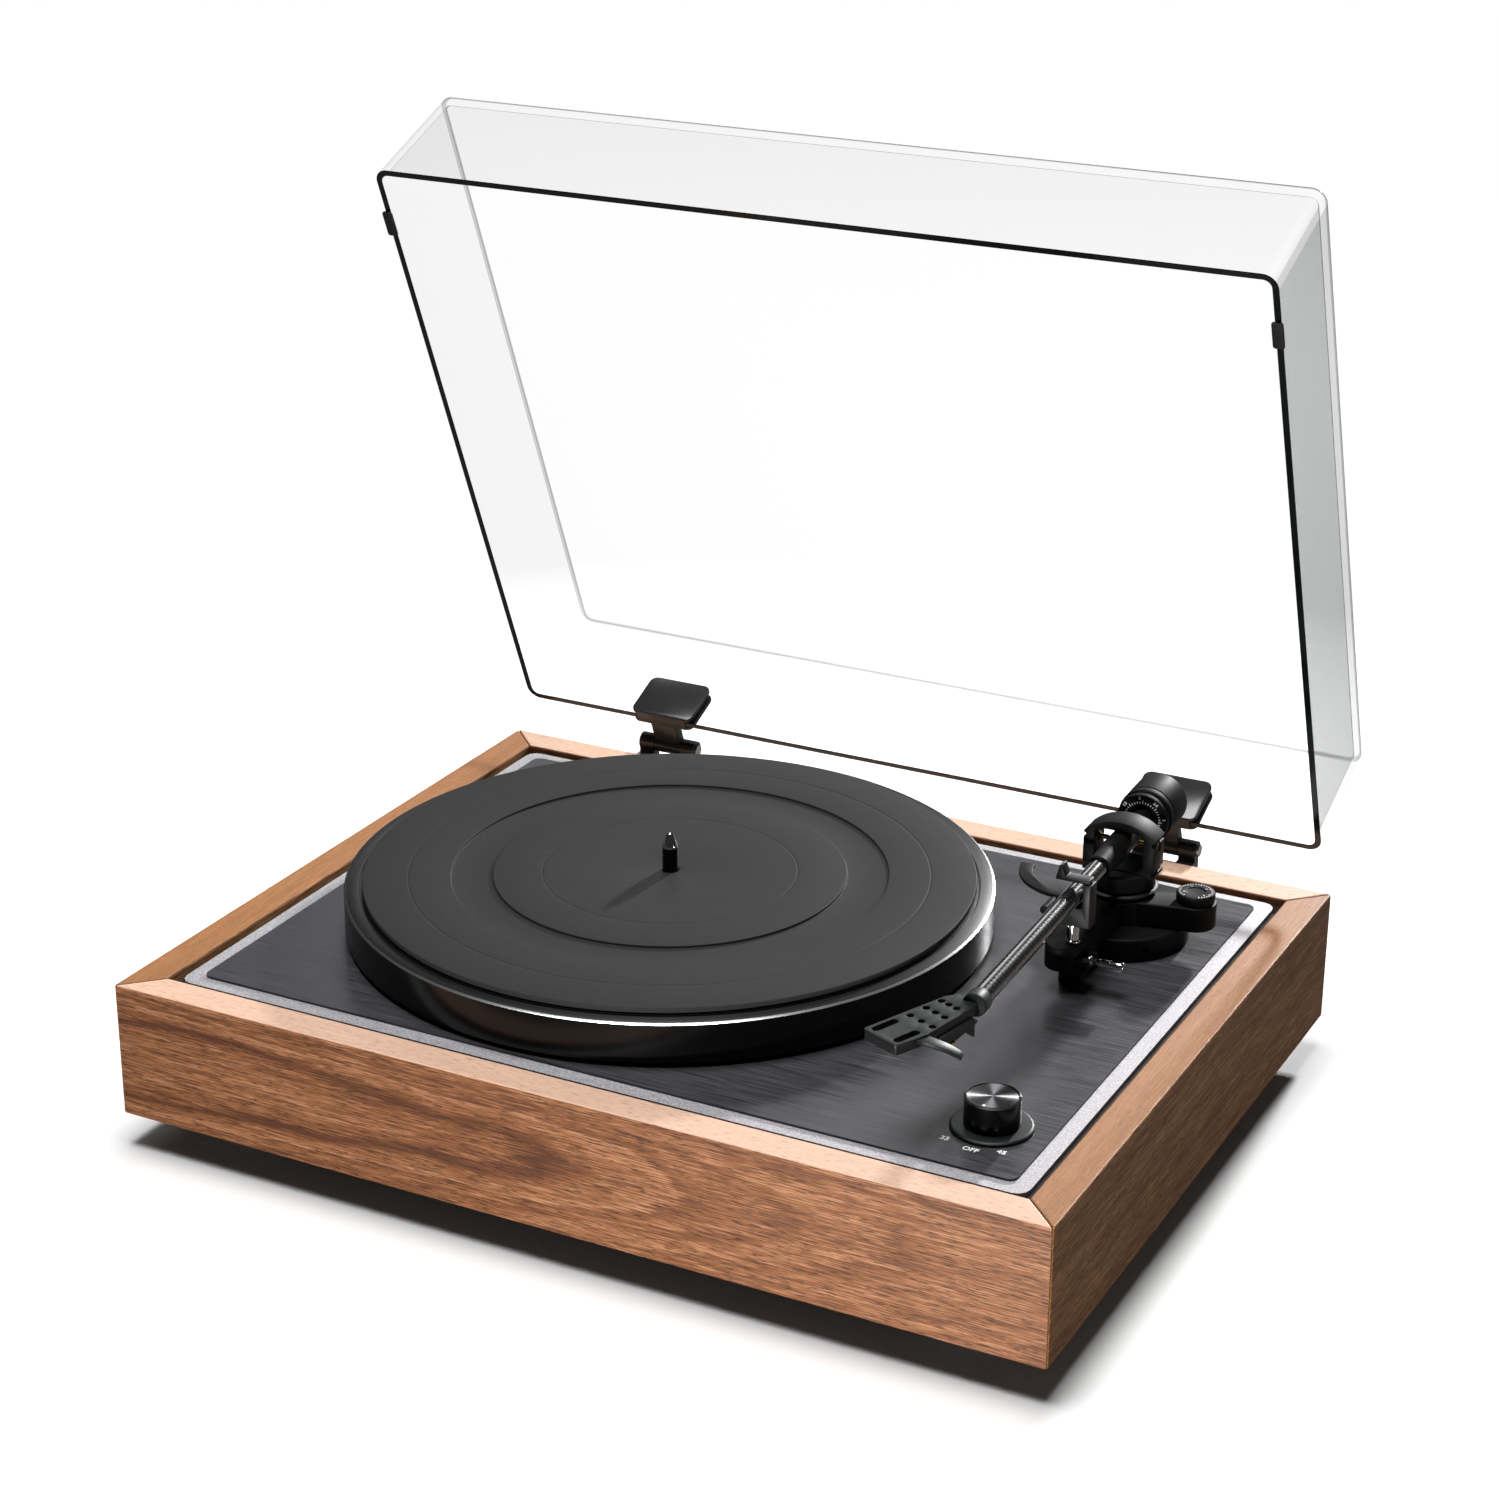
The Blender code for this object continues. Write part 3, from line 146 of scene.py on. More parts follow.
@dataclass(frozen=True)
class Finish:
    """A real material and how its surface was made. The base class is an even surface with faint mottling."""

    name: str
    colour: str
    roughness: float = 0.4
    metallic: float = 0.0
    ior: float = 1.5
    grit_mm: float = 0.6
    bump: float = 0.03
    mottle: float = 0.10

    def material(self) -> bpy.types.Material:
        """The node material, made on first use."""
        if self.name in bpy.data.materials:
            return bpy.data.materials[self.name]
        made = bpy.data.materials.new(self.name)
        made.use_nodes = True
        shader = made.node_tree.nodes["Principled BSDF"]
        for socket, value in (("Base Color", linear(self.colour)), ("Roughness", self.roughness),
                              ("Metallic", self.metallic), ("IOR", self.ior)):
            shader.inputs[socket].default_value = value
        self.pattern(made.node_tree, shader)
        return made

    def pattern(self, tree: bpy.types.NodeTree, shader: bpy.types.Node) -> None:
        """Adds the surface's own detail: here a fine grit, and a slow change of gloss as from handling.

        Args:
            tree: The material's node tree.
            shader: Its Principled shader.
        """
        place = add_node(tree, "ShaderNodeTexCoord").outputs["Object"]
        grit = add_node(tree, "ShaderNodeTexNoise", {"Scale": per_mm(self.grit_mm), "Detail": 3.0}, {"Vector": place})
        slow = add_node(tree, "ShaderNodeTexNoise", {"Scale": per_mm(22.0), "Detail": 2.0}, {"Vector": place})
        self.relief(tree, shader, grit.outputs["Fac"])
        self.spread(tree, shader, slow.outputs["Fac"])
        self.tint(tree, shader, grit.outputs["Fac"])

    def relief(self, tree: bpy.types.NodeTree, shader: bpy.types.Node, height: bpy.types.NodeSocket,
               depth_mm: float = 0.05) -> None:
        """Raises the surface by a pattern, depth_mm high at full strength."""
        made = add_node(tree, "ShaderNodeBump", {"Strength": self.bump, "Distance": depth_mm / 1000},
                        {"Height": height})
        tree.links.new(made.outputs["Normal"], shader.inputs["Normal"])

    def spread(self, tree: bpy.types.NodeTree, shader: bpy.types.Node, value: bpy.types.NodeSocket) -> None:
        """Lets the roughness wander about its value by a pattern."""
        low, high = self.roughness * (1 - self.mottle), self.roughness * (1 + self.mottle)
        made = add_node(tree, "ShaderNodeMapRange", {"From Min": 0.25, "From Max": 0.75, "To Min": low, "To Max": high},
                        {"Value": value})
        tree.links.new(made.outputs["Result"], shader.inputs["Roughness"])

    def tint(self, tree: bpy.types.NodeTree, shader: bpy.types.Node, value: bpy.types.NodeSocket) -> None:
        """Lets the colour wander a little in lightness by a pattern."""
        low, high = ((*(c * level for c in linear(self.colour)[:3]), 1.0)
                     for level in (1 - self.mottle, 1 + self.mottle))
        made = add_node(tree, "ShaderNodeValToRGB", {"stops": ((0.36, low), (0.64, high))}, {"Fac": value})
        tree.links.new(made.outputs["Color"], shader.inputs["Base Color"])


@dataclass(frozen=True)
class OiledWalnut(Finish):
    """Flat-sawn walnut veneer, sanded and oiled: a dark year drawn out into an arch, paler years, fibres and pores."""

    pale: str = "#b98460"
    dark: str = "#5a3420"
    # Painted highlight on the boards' top faces: its colour here, and on the next line the height where it starts.
    top_highlight: str = "#f6cfb5"
    top_highlight_from: float = 0.0797
    pore: str = "#2e1a10"
    grain: Grain = Grain.ALONG_X
    heart: tuple[float, float, float] = (0.0, 0.0, 0.0)
    growth: float = 0.10
    rise: float = 0.019
    pith_mm: float = 5.8
    swell: float = 0.009
    fray: float = 0.0026
    fibre_tone: float = 2.7
    broad_tone: float = 0.7
    base_tone: float = 1.64
    # How much of the painted highlight is mixed in.
    top_highlight_share: float = 0.70
    years: tuple[tuple[float, float], ...] = (
        (0.0, 0.40), (10.0, 0.36), (14.0, 0.50), (16.4, 0.55), (18.4, 1.0), (19.4, 0.92), (21.5, 0.42), (25.2, 0.30),
                                              (25.9, 0.12),
        (26.4, 0.60), (29.0, 0.40), (31.0, 0.62), (32.4, 0.40), (36.0, 0.34), (38.0, 0.60), (39.0, 0.42), (44.0, 0.34),
                                              (47.0, 0.56),
        (49.0, 0.38), (55.0, 0.46), (60.0, 0.34), (66.0, 0.55), (72.0, 0.36))

    def pattern(self, tree: bpy.types.NodeTree, shader: bpy.types.Node) -> None:
        """Cuts the surface out of a log whose heart runs beside the board, then adds fibres and pores."""
        where = add_node(tree, "ShaderNodeTexCoord").outputs["Object"]
        along = add_node(tree, "ShaderNodeMapping", {"Rotation": (0, 0, math.radians(-self.grain.value))},
                         {"Vector": where})
        board = along.outputs["Vector"]
        # Real fibres are 0.1 mm wide and pores 0.2 mm; these are coarser, to show.
        fibres = self.streaks(tree, board, 16.0, 0.42, {"Detail": 3.0, "Roughness": 0.60})
        broad = self.streaks(tree, board, 130.0, 6.0, {"Detail": 3.0})
        # The heart leans, so the years close into arches along the board.
        heart = add_node(tree, "ShaderNodeVectorMath", {"operation": "SUBTRACT", 1: self.heart}, {0: board})
        parts = add_node(tree, "ShaderNodeSeparateXYZ", {}, {0: heart.outputs["Vector"]})
        depth = add_node(tree, "ShaderNodeMath", {"operation": "MULTIPLY_ADD", 1: self.growth},
                         {0: parts.outputs["X"], 2: parts.outputs["Y"]})
        height = add_node(tree, "ShaderNodeMath", {"operation": "MULTIPLY_ADD", 1: -self.rise},
                          {0: parts.outputs["X"], 2: parts.outputs["Z"]})
        across = add_node(tree, "ShaderNodeCombineXYZ", {}, {0: depth.outputs["Value"], 1: height.outputs["Value"]})
        radius = add_node(tree, "ShaderNodeVectorMath", {"operation": "LENGTH"}, {0: across.outputs["Vector"]})
        slow = self.streaks(tree, board, 85.0, 24.0, {"Detail": 2.0})
        swollen = add_node(tree, "ShaderNodeMath", {"operation": "MULTIPLY_ADD", 1: self.swell},
                           {0: slow, 2: radius.outputs["Value"]})
        frayed = add_node(tree, "ShaderNodeMath", {"operation": "MULTIPLY_ADD", 1: self.fray},
                          {0: fibres, 2: swollen.outputs["Value"]})
        span, pith = self.years[-1][0], self.pith_mm / 1000
        year = add_node(tree, "ShaderNodeMapRange", {"From Min": pith, "From Max": pith + span / 1000},
                        {"Value": frayed.outputs["Value"]})
        stops = tuple((at / span, (t, t, t, 1.0)) for at, t in self.years)
        years = add_node(tree, "ShaderNodeValToRGB", {"stops": stops}, {"Fac": year.outputs["Result"]})
        tone = add_node(tree, "ShaderNodeMath", {"operation": "MULTIPLY_ADD", 1: self.fibre_tone},
                        {0: fibres, 2: years.outputs["Color"]})
        tone = add_node(tree, "ShaderNodeMath", {"operation": "MULTIPLY_ADD", 1: self.broad_tone},
                        {0: broad, 2: tone.outputs["Value"]})
        level = add_node(tree, "ShaderNodeMath", {"operation": "SUBTRACT", 1: self.base_tone},
                         {0: tone.outputs["Value"]})
        stops = ((0.05, linear(self.pale)), (0.40, linear(self.colour)), (1.0, linear(self.dark)))
        wood = add_node(tree, "ShaderNodeValToRGB", {"stops": stops}, {"Fac": level.outputs["Value"]})
        # Painted highlight: the colour of the boards' upper edges is mixed toward a paler tone for the light that falls
        # on their top faces, and fewer pores show there.
        world = add_node(tree, "ShaderNodeSeparateXYZ", {}, {0: where})
        edge = {"From Min": self.top_highlight_from, "From Max": self.top_highlight_from + 0.0002, "To Max": self.top_highlight_share}
        upper = add_node(tree, "ShaderNodeMapRange", edge, {"Value": world.outputs["Z"]})
        wood = add_node(tree, "ShaderNodeMix", {"data_type": "RGBA", 7: linear(self.top_highlight)},
                        {0: upper.outputs["Result"], 6: wood.outputs["Color"]})
        pores = self.streaks(tree, board, 5.5, 0.40, {"Detail": 1.0})
        open_pore = add_node(tree, "ShaderNodeMapRange", {"From Min": 0.56, "From Max": 0.68, "To Max": 0.80},
                             {"Value": pores})
        less = add_node(tree, "ShaderNodeMath", {"operation": "MULTIPLY_ADD", 1: -0.75, 2: 1.0},
                        {0: upper.outputs["Result"]})
        open_pore = add_node(tree, "ShaderNodeMath", {"operation": "MULTIPLY"},
                             {0: open_pore.outputs["Result"], 1: less.outputs["Value"]})
        filled = add_node(tree, "ShaderNodeMix", {"data_type": "RGBA", 7: linear(self.pore)},
                          {0: open_pore.outputs["Value"], 6: wood.outputs[2]})
        tree.links.new(filled.outputs[2], shader.inputs["Base Color"])
        self.relief(tree, shader, fibres, 0.12)
        self.spread(tree, shader, broad)

    @staticmethod
    def streaks(tree: bpy.types.NodeTree, board: bpy.types.NodeSocket, long_mm: float, wide_mm: float,
                settings: dict[Any, Any]) -> bpy.types.NodeSocket:
        """Noise drawn out along the board, in streaks of a given length and width."""
        place = add_node(tree, "ShaderNodeMapping", {"Scale": stretched(long_mm, wide_mm)}, {"Vector": board})
        made = add_node(tree, "ShaderNodeTexNoise", {"Scale": 1.0, **settings}, {"Vector": place.outputs["Vector"]})
        return made.outputs["Fac"]


@dataclass(frozen=True)
class BrushedAnodised(Finish):
    """Aluminium sheet, brushed one way and then anodised: short fine lines that stretch the light across them."""

    line_mm: float = 0.45
    length_mm: float = 30.0

    def pattern(self, tree: bpy.types.NodeTree, shader: bpy.types.Node) -> None:
        """Draws the brush lines. Real ones are 0.05 mm apart; these are as coarse as they need to be to show."""
        place = add_node(tree, "ShaderNodeTexCoord").outputs["Object"]
        scale = per_mm(self.length_mm), per_mm(self.line_mm), per_mm(4.0)
        along = add_node(tree, "ShaderNodeMapping", {"Scale": scale}, {"Vector": place})
        lines = add_node(tree, "ShaderNodeTexNoise", {"Scale": 1.0, "Detail": 4.0, "Roughness": 0.7},
                         {"Vector": along.outputs["Vector"]})
        shader.inputs["Anisotropic"].default_value = 0.35
        across = add_node(tree, "ShaderNodeCombineXYZ", {"X": 0.0, "Y": 1.0})
        tree.links.new(across.outputs["Vector"], shader.inputs["Tangent"])
        self.relief(tree, shader, lines.outputs["Fac"], 0.04)
        self.spread(tree, shader, lines.outputs["Fac"])
        self.tint(tree, shader, lines.outputs["Fac"])


@dataclass(frozen=True)
class TurnedMetal(Finish):
    """Metal turned on a lathe: fine rings round its own axis that draw the light into wedges."""

    centre: tuple[float, float, float] = (0.0, 0.0, 0.0)
    ring_mm: float = 0.5
    anisotropy: float = 0.6

    def pattern(self, tree: bpy.types.NodeTree, shader: bpy.types.Node) -> None:
        """Draws the tool's rings. Real ones are 0.1 mm apart; these are as coarse as they need to be to show."""
        place = add_node(tree, "ShaderNodeTexCoord").outputs["Object"]
        moved = add_node(tree, "ShaderNodeVectorMath", {"operation": "SUBTRACT", 1: self.centre}, {0: place})
        flat = add_node(tree, "ShaderNodeVectorMath", {"operation": "MULTIPLY", 1: (1.0, 1.0, 0.0)},
                        {0: moved.outputs["Vector"]})
        radius = add_node(tree, "ShaderNodeVectorMath", {"operation": "LENGTH"}, {0: flat.outputs["Vector"]})
        count = add_node(tree, "ShaderNodeMath", {"operation": "MULTIPLY", 1: per_mm(self.ring_mm)},
                         {0: radius.outputs["Value"]})
        rings = add_node(tree, "ShaderNodeTexNoise", {"noise_dimensions": "1D", "Scale": 1.0, "Detail": 2.0},
                         {"W": count.outputs["Value"]})
        shader.inputs["Anisotropic"].default_value = self.anisotropy
        tangent = add_node(tree, "ShaderNodeVectorMath", {"operation": "NORMALIZE"}, {0: flat.outputs["Vector"]})
        tree.links.new(tangent.outputs["Vector"], shader.inputs["Tangent"])
        self.relief(tree, shader, rings.outputs["Fac"], 0.03)
        self.spread(tree, shader, rings.outputs["Fac"])
        self.tint(tree, shader, rings.outputs["Fac"])


@dataclass(frozen=True)
class BlastedAluminium(Finish):
    """Aluminium blasted with glass bead and left clear: a pale skin with a coarse sparkle."""

    def pattern(self, tree: bpy.types.NodeTree, shader: bpy.types.Node) -> None:
        """Puts a pit beside each bead's crown, with some crowns brighter. Real pits are 0.2 mm; these are coarser."""
        place = add_node(tree, "ShaderNodeTexCoord").outputs["Object"]
        pits = add_node(tree, "ShaderNodeTexVoronoi", {"Scale": per_mm(self.grit_mm), "Randomness": 1.0},
                        {"Vector": place})
        grit = add_node(tree, "ShaderNodeTexNoise", {"Scale": per_mm(self.grit_mm), "Detail": 3.0}, {"Vector": place})
        self.relief(tree, shader, pits.outputs["Distance"], 0.1)
        self.spread(tree, shader, grit.outputs["Fac"])
        self.tint(tree, shader, grit.outputs["Fac"])


@dataclass(frozen=True)
class CarbonTwill(Finish):
    """Carbon cloth laid up in clear resin: light and dark checks under a hard gloss coat."""

    origin: tuple[float, float, float] = (0.0, 0.0, 0.0)
    turn: tuple[float, float, float] = (0.0, 0.0, 0.0)
    tow_mm: float = 1.5
    light: str = "#1b1c1e"

    def pattern(self, tree: bpy.types.NodeTree, shader: bpy.types.Node) -> None:
        """Weaves warp and weft at 45 degrees round the tube."""
        place = add_node(tree, "ShaderNodeTexCoord").outputs["Object"]
        frame_of = {"vector_type": "TEXTURE", "Location": self.origin, "Rotation": self.turn}
        local = add_node(tree, "ShaderNodeMapping", frame_of, {"Vector": place})
        parts = add_node(tree, "ShaderNodeSeparateXYZ", {}, {0: local.outputs["Vector"]})
        angle = add_node(tree, "ShaderNodeMath", {"operation": "ARCTAN2"},
                         {0: parts.outputs["X"], 1: parts.outputs["Z"]})
        around = add_node(tree, "ShaderNodeMath", {"operation": "MULTIPLY", 1: 6 / math.tau},
                          {0: angle.outputs["Value"]})
        length = add_node(tree, "ShaderNodeMath", {"operation": "MULTIPLY", 1: per_mm(self.tow_mm * 2)},
                          {0: parts.outputs["Y"]})
        warp = add_node(tree, "ShaderNodeMath", {"operation": "ADD"},
                        {0: around.outputs["Value"], 1: length.outputs["Value"]})
        weft = add_node(tree, "ShaderNodeMath", {"operation": "SUBTRACT"},
                        {0: around.outputs["Value"], 1: length.outputs["Value"]})
        cell = add_node(tree, "ShaderNodeCombineXYZ", {}, {0: warp.outputs["Value"], 1: weft.outputs["Value"]})
        checks = add_node(tree, "ShaderNodeTexChecker",
                          {"Scale": 1.0, "Color1": linear(self.light), "Color2": linear(self.colour)},
                          {"Vector": cell.outputs["Vector"]})
        tree.links.new(checks.outputs["Color"], shader.inputs["Base Color"])
        shader.inputs["Coat Weight"].default_value = 1.0
        shader.inputs["Coat Roughness"].default_value = 0.04
        tows = add_node(tree, "ShaderNodeTexNoise", {"Scale": per_mm(0.4), "Detail": 2.0}, {"Vector": place})
        self.relief(tree, shader, tows.outputs["Fac"])
        self.spread(tree, shader, checks.outputs["Fac"])


@dataclass(frozen=True)
class CastAcrylic(Finish):
    """Clear cast acrylic: nearly nothing seen square on, and a dark grey-green film where the eye skims it."""

    clear: float = 0.008
    skim: float = 0.20

    def pattern(self, tree: bpy.types.NodeTree, shader: bpy.types.Node) -> None:
        """Thins the sheet square on and thickens it at a glance, with a faint waviness of casting."""
        place = add_node(tree, "ShaderNodeTexCoord").outputs["Object"]
        facing = add_node(tree, "ShaderNodeLayerWeight", {"Blend": 0.5})
        film = {"From Min": 0.30, "From Max": 1.0, "To Min": self.clear, "To Max": self.skim}
        alpha = add_node(tree, "ShaderNodeMapRange", film, {"Value": facing.outputs["Facing"]})
        tree.links.new(alpha.outputs["Result"], shader.inputs["Alpha"])
        waves = add_node(tree, "ShaderNodeTexNoise", {"Scale": per_mm(70.0), "Detail": 1.0}, {"Vector": place})
        self.relief(tree, shader, waves.outputs["Fac"], 0.2)
        self.spread(tree, shader, waves.outputs["Fac"])


@dataclass(frozen=True)
class BoardLaminate(Finish):
    """Glass-fibre circuit board under green lacquer: thin copper runs show through as lighter lines."""

    field: str = "#0d4a2c"
    copper: str = "#3f8a55"

    def pattern(self, tree: bpy.types.NodeTree, shader: bpy.types.Node) -> None:
        """Lays copper runs about 1 mm wide on a raster of 4.5 by 2.25 mm."""
        place = add_node(tree, "ShaderNodeTexCoord").outputs["Object"]
        bricks = {"Scale": per_mm(9.0), "Mortar Size": 0.10, "Color1": linear(self.colour),
                  "Color2": linear(self.field), "Mortar": linear(self.copper)}
        runs = add_node(tree, "ShaderNodeTexBrick", bricks, {"Vector": place})
        tree.links.new(runs.outputs["Color"], shader.inputs["Base Color"])
        self.relief(tree, shader, runs.outputs["Fac"], 0.1)


def paint(target: bpy.types.Object, *finishes: Finish) -> bpy.types.Object:
    """Gives an object its finishes, one for each of its material numbers."""
    slots = target.data.materials
    for i, finish in enumerate(finishes):
        if i < len(slots):
            slots[i] = finish.material()
        else:
            slots.append(finish.material())
    return target


# ---------------------------------------------------------------- the shop's finishes
# Walnut boards, oiled: warm mid brown with dark late wood, and a painted highlight on the boards' top faces, dimmer on
# the side boards.
FRONT_WALNUT = OiledWalnut("oiled_walnut_front", "#915c37", 0.52, heart=(-0.014, -0.2212, 0.049), bump=0.22)
BACK_WALNUT = OiledWalnut("oiled_walnut_back", "#915c37", 0.52, heart=(-0.30, 0.160, 0.040), growth=0.05, bump=0.22)
# The side boards' top faces carry a dimmer painted highlight than the front's.
SIDE_WALNUT = OiledWalnut("oiled_walnut_sides", "#935f30", 0.54, pale="#bd8a54", dark="#57351b",
                          heart=(0.06, 0.005, 0.075), growth=0.04, rise=-0.03, top_highlight="#a26c40",
                          grain=Grain.ALONG_Y, bump=0.22)
# Near-black matt fibreboard as painted shade, so that the gap round the plate reads as a dark shadow line; the speed
# flange's black pip uses it too.
BLACK_PIP_AND_GAP_SHADE = Finish("fibreboard_black_and_gap_shade", "#0c0a09", 0.85, grit_mm=1.0, bump=0.2)
# Aluminium blasted and left clear: pale grey with a sparkle.
BORDER_ALUMINIUM = BlastedAluminium("blasted_aluminium", "#b2b0b3", 0.62, 0.65, grit_mm=0.8, bump=0.30, mottle=0.25)
# Aluminium brushed along the front and anodised black: dark, with a broad grey sheen at a glance.
PANEL_ANODISED = BrushedAnodised("brushed_black_anodised", "#48484b", 0.42, 0.5, bump=0.35, mottle=0.50)
# Moulded rubber: charcoal, with a fine pebble.
MAT_RUBBER = Finish("moulded_mat_rubber", "#2d2d2e", 0.60, ior=1.20, grit_mm=0.7, bump=0.30, mottle=0.06)
BLACK_RUBBER = Finish("moulded_rubber", "#0e0e0f", 0.70, grit_mm=0.9, bump=0.3)
# Cast aluminium, lacquered black on the side and diamond cut at the edge.
PLATTER_LACQUER = Finish("black_lacquer", "#040404", 0.18, ior=1.36, grit_mm=1.2, bump=0.02)
# Powder coat over aluminium castings: satin black with a soft light along each edge.
SATIN_BLACK = Finish("satin_black_powder_coat", "#0c0d0d", 0.54, ior=1.20, grit_mm=0.5, bump=0.10)
SLATE_BLACK = Finish("slate_black_anodised", "#161a1b", 0.46, 0.1, ior=1.36, grit_mm=0.5, bump=0.08)
# Enamel on the hinges: a harder gloss that shows as grey where it faces the lamps.
HINGE_BLACK = Finish("hinge_black_enamel", "#333433", 0.22, grit_mm=0.8, bump=0.06)
# Moulded ABS: black and a little glossy, on the rest, the base, the switch and the rear plate.
MOULDED_ABS = Finish("moulded_abs", "#0b0b0c", 0.50, ior=1.40, grit_mm=0.5, bump=0.12)
# Bright and dark metals: chrome and zinc plate, a dark steel colour that paints the dark reflection in the chromed
# spindle's shaft, turned brass for screws and pulley.
CHROME = Finish("chrome_plate", "#d5d8da", 0.07, 1.0, grit_mm=1.5, bump=0.01)
SHAFT_PAINTED_REFLECTION = Finish("shaft_painted_dark_reflection", "#17181a", 0.20, 0.8, grit_mm=1.5, bump=0.02)
ZINC_STEEL = Finish("zinc_plated_steel", "#8f9396", 0.30, 1.0, grit_mm=0.8, bump=0.05)
TURNED_BRASS = Finish("turned_brass", "#c39b52", 0.24, 1.0, grit_mm=0.8, bump=0.03)
# Acrylic: clear faces, a right wall with a painted grey reflection, black polished rims and bends.
CLEAR_ACRYLIC = CastAcrylic("cast_acrylic", "#3c4646", 0.04, ior=1.49, bump=0.02)
ACRYLIC_PAINTED_REFLECTION = CastAcrylic("acrylic_wall_painted_reflection", "#6f8581", 0.04, ior=1.49, bump=0.02, clear=0.02, skim=0.56)
ACRYLIC_RIM = Finish("polished_acrylic_rim", "#0b1010", 0.10, grit_mm=2.0, bump=0.01)
ACRYLIC_BEND = CastAcrylic("acrylic_bend", "#141b1b", 0.06, ior=1.25, bump=0.01, clear=0.34, skim=0.98)
# Screen print, circuit lacquer, and the plastics that colour the leads and the jacks.
WHITE_INK = Finish("white_screen_print", "#f6f6f6", 0.55, grit_mm=0.3, bump=0.02, mottle=0.04)
CIRCUIT = BoardLaminate("lacquered_circuit_board", "#0b3d24", 0.35, bump=0.1)
GREEN_JACKET = Finish("green_wire_jacket", "#157a52", 0.42, bump=0.02)
WHITE_JACKET = Finish("white_wire_jacket", "#dedede", 0.42, bump=0.02)
RED_JACKET = Finish("red_wire_jacket", "#b9202c", 0.42, bump=0.02)
BLUE_JACKET = Finish("blue_wire_jacket", "#1d2d5a", 0.42, bump=0.02)
RED_RING = Finish("red_moulded_ring", "#a81c20", 0.40)
WHITE_RING = Finish("white_moulded_ring", "#d9d9d6", 0.40)


# ---------------------------------------------------------------- shapes
def arc(cx: float, cy: float, r: float, a0: float, a1: float, steps: int) -> Line:
    """Points along an arc, its angles in degrees."""
    angles = [math.radians(a0 + (a1 - a0) * i / steps) for i in range(steps + 1)]
    return [(cx + r * math.cos(a), cy + r * math.sin(a)) for a in angles]


def rounded(x0: float, y0: float, x1: float, y1: float, r: float, steps: int = 8) -> Line:
    """A rectangle's outline with rounded corners, anticlockwise."""
    return (arc(x1 - r, y0 + r, r, -90, 0, steps) + arc(x1 - r, y1 - r, r, 0, 90, steps)
            + arc(x0 + r, y1 - r, r, 90, 180, steps) + arc(x0 + r, y0 + r, r, 180, 270, steps))


def eased(points: Sequence[Point], radius: float, steps: int = 3, closed: bool = False) -> Line:
    """Rounds the corners of a line.

    Args:
        points: The line's points.
        radius: How far before and after a corner the round starts and ends.
        steps: The round's segments.
        closed: Whether the last point joins the first.

    Returns:
        The line with each corner turned into a short curve.
    """
    count = len(points)
    line: Line = []
    for i, point in enumerate(points):
        if not closed and i in (0, count - 1):
            line.append(point)
            continue
        p, a, b = Vector(point), Vector(points[i - 1]), Vector(points[(i + 1) % count])
        back, on = a - p, b - p
        if back.length < 1e-7 or on.length < 1e-7 or back.angle(-on) < math.radians(14):
            line.append(point)
            continue
        start = p + back.normalized() * min(radius, back.length * 0.45)
        end = p + on.normalized() * min(radius, on.length * 0.45)
        for k in range(steps + 1):
            t = k / steps
            line.append(tuple(start * (1 - t) ** 2 + p * (2 * t * (1 - t)) + end * t ** 2))
    return line


def smooth_path(points: Sequence[Vector], steps: int) -> list[Vector]:
    """A smooth curve through points, with steps segments between each two."""
    ends = [points[0] * 2 - points[1], *points, points[-1] * 2 - points[-2]]
    line = []
    for a, b, c, d in zip(ends, ends[1:], ends[2:], ends[3:]):
        for k in range(steps):
            t = k / steps
            line.append(0.5 * ((2 * b) + (c - a) * t + (2 * a - 5 * b + 4 * c - d) * t ** 2
                               + (3 * b - a - 3 * c + d) * t ** 3))
    return line + [points[-1]]


def shape(name: str, bm: bmesh.types.BMesh, place: Matrix = IDENTITY, angle: float = SHARP) -> bpy.types.Object:
    """Turns a bmesh into an object, with smooth faces and sharp corners.

    Args:
        name: The piece's name.
        bm: The mesh, which is freed.
        place: Where the mesh's own frame stands.
        angle: The corner, in degrees, from which an edge stays sharp.

    Returns:
        The object, at the origin, with its place in its mesh.
    """
    bmesh.ops.remove_doubles(bm, verts=bm.verts, dist=1e-7)
    bmesh.ops.recalc_face_normals(bm, faces=bm.faces)
    mesh = bpy.data.meshes.new(name)
    bm.to_mesh(mesh)
    bm.free()
    mesh.transform(place)
    mesh.shade_smooth()
    mesh.set_sharp_from_angle(angle=math.radians(angle))
    made = bpy.data.objects.new(name, mesh)
    bpy.context.scene.collection.objects.link(made)
    return made


def ease_edges(bm: bmesh.types.BMesh, width: float, steps: int = 2, angle: float = 50.0) -> None:
    """Rounds every edge sharper than angle, width wide."""
    edges = [e for e in bm.edges if len(e.link_faces) == 2 and e.calc_face_angle() > math.radians(angle)]
    bmesh.ops.bevel(bm, geom=edges, offset=width, segments=steps, profile=0.5, affect="EDGES", clamp_overlap=True)


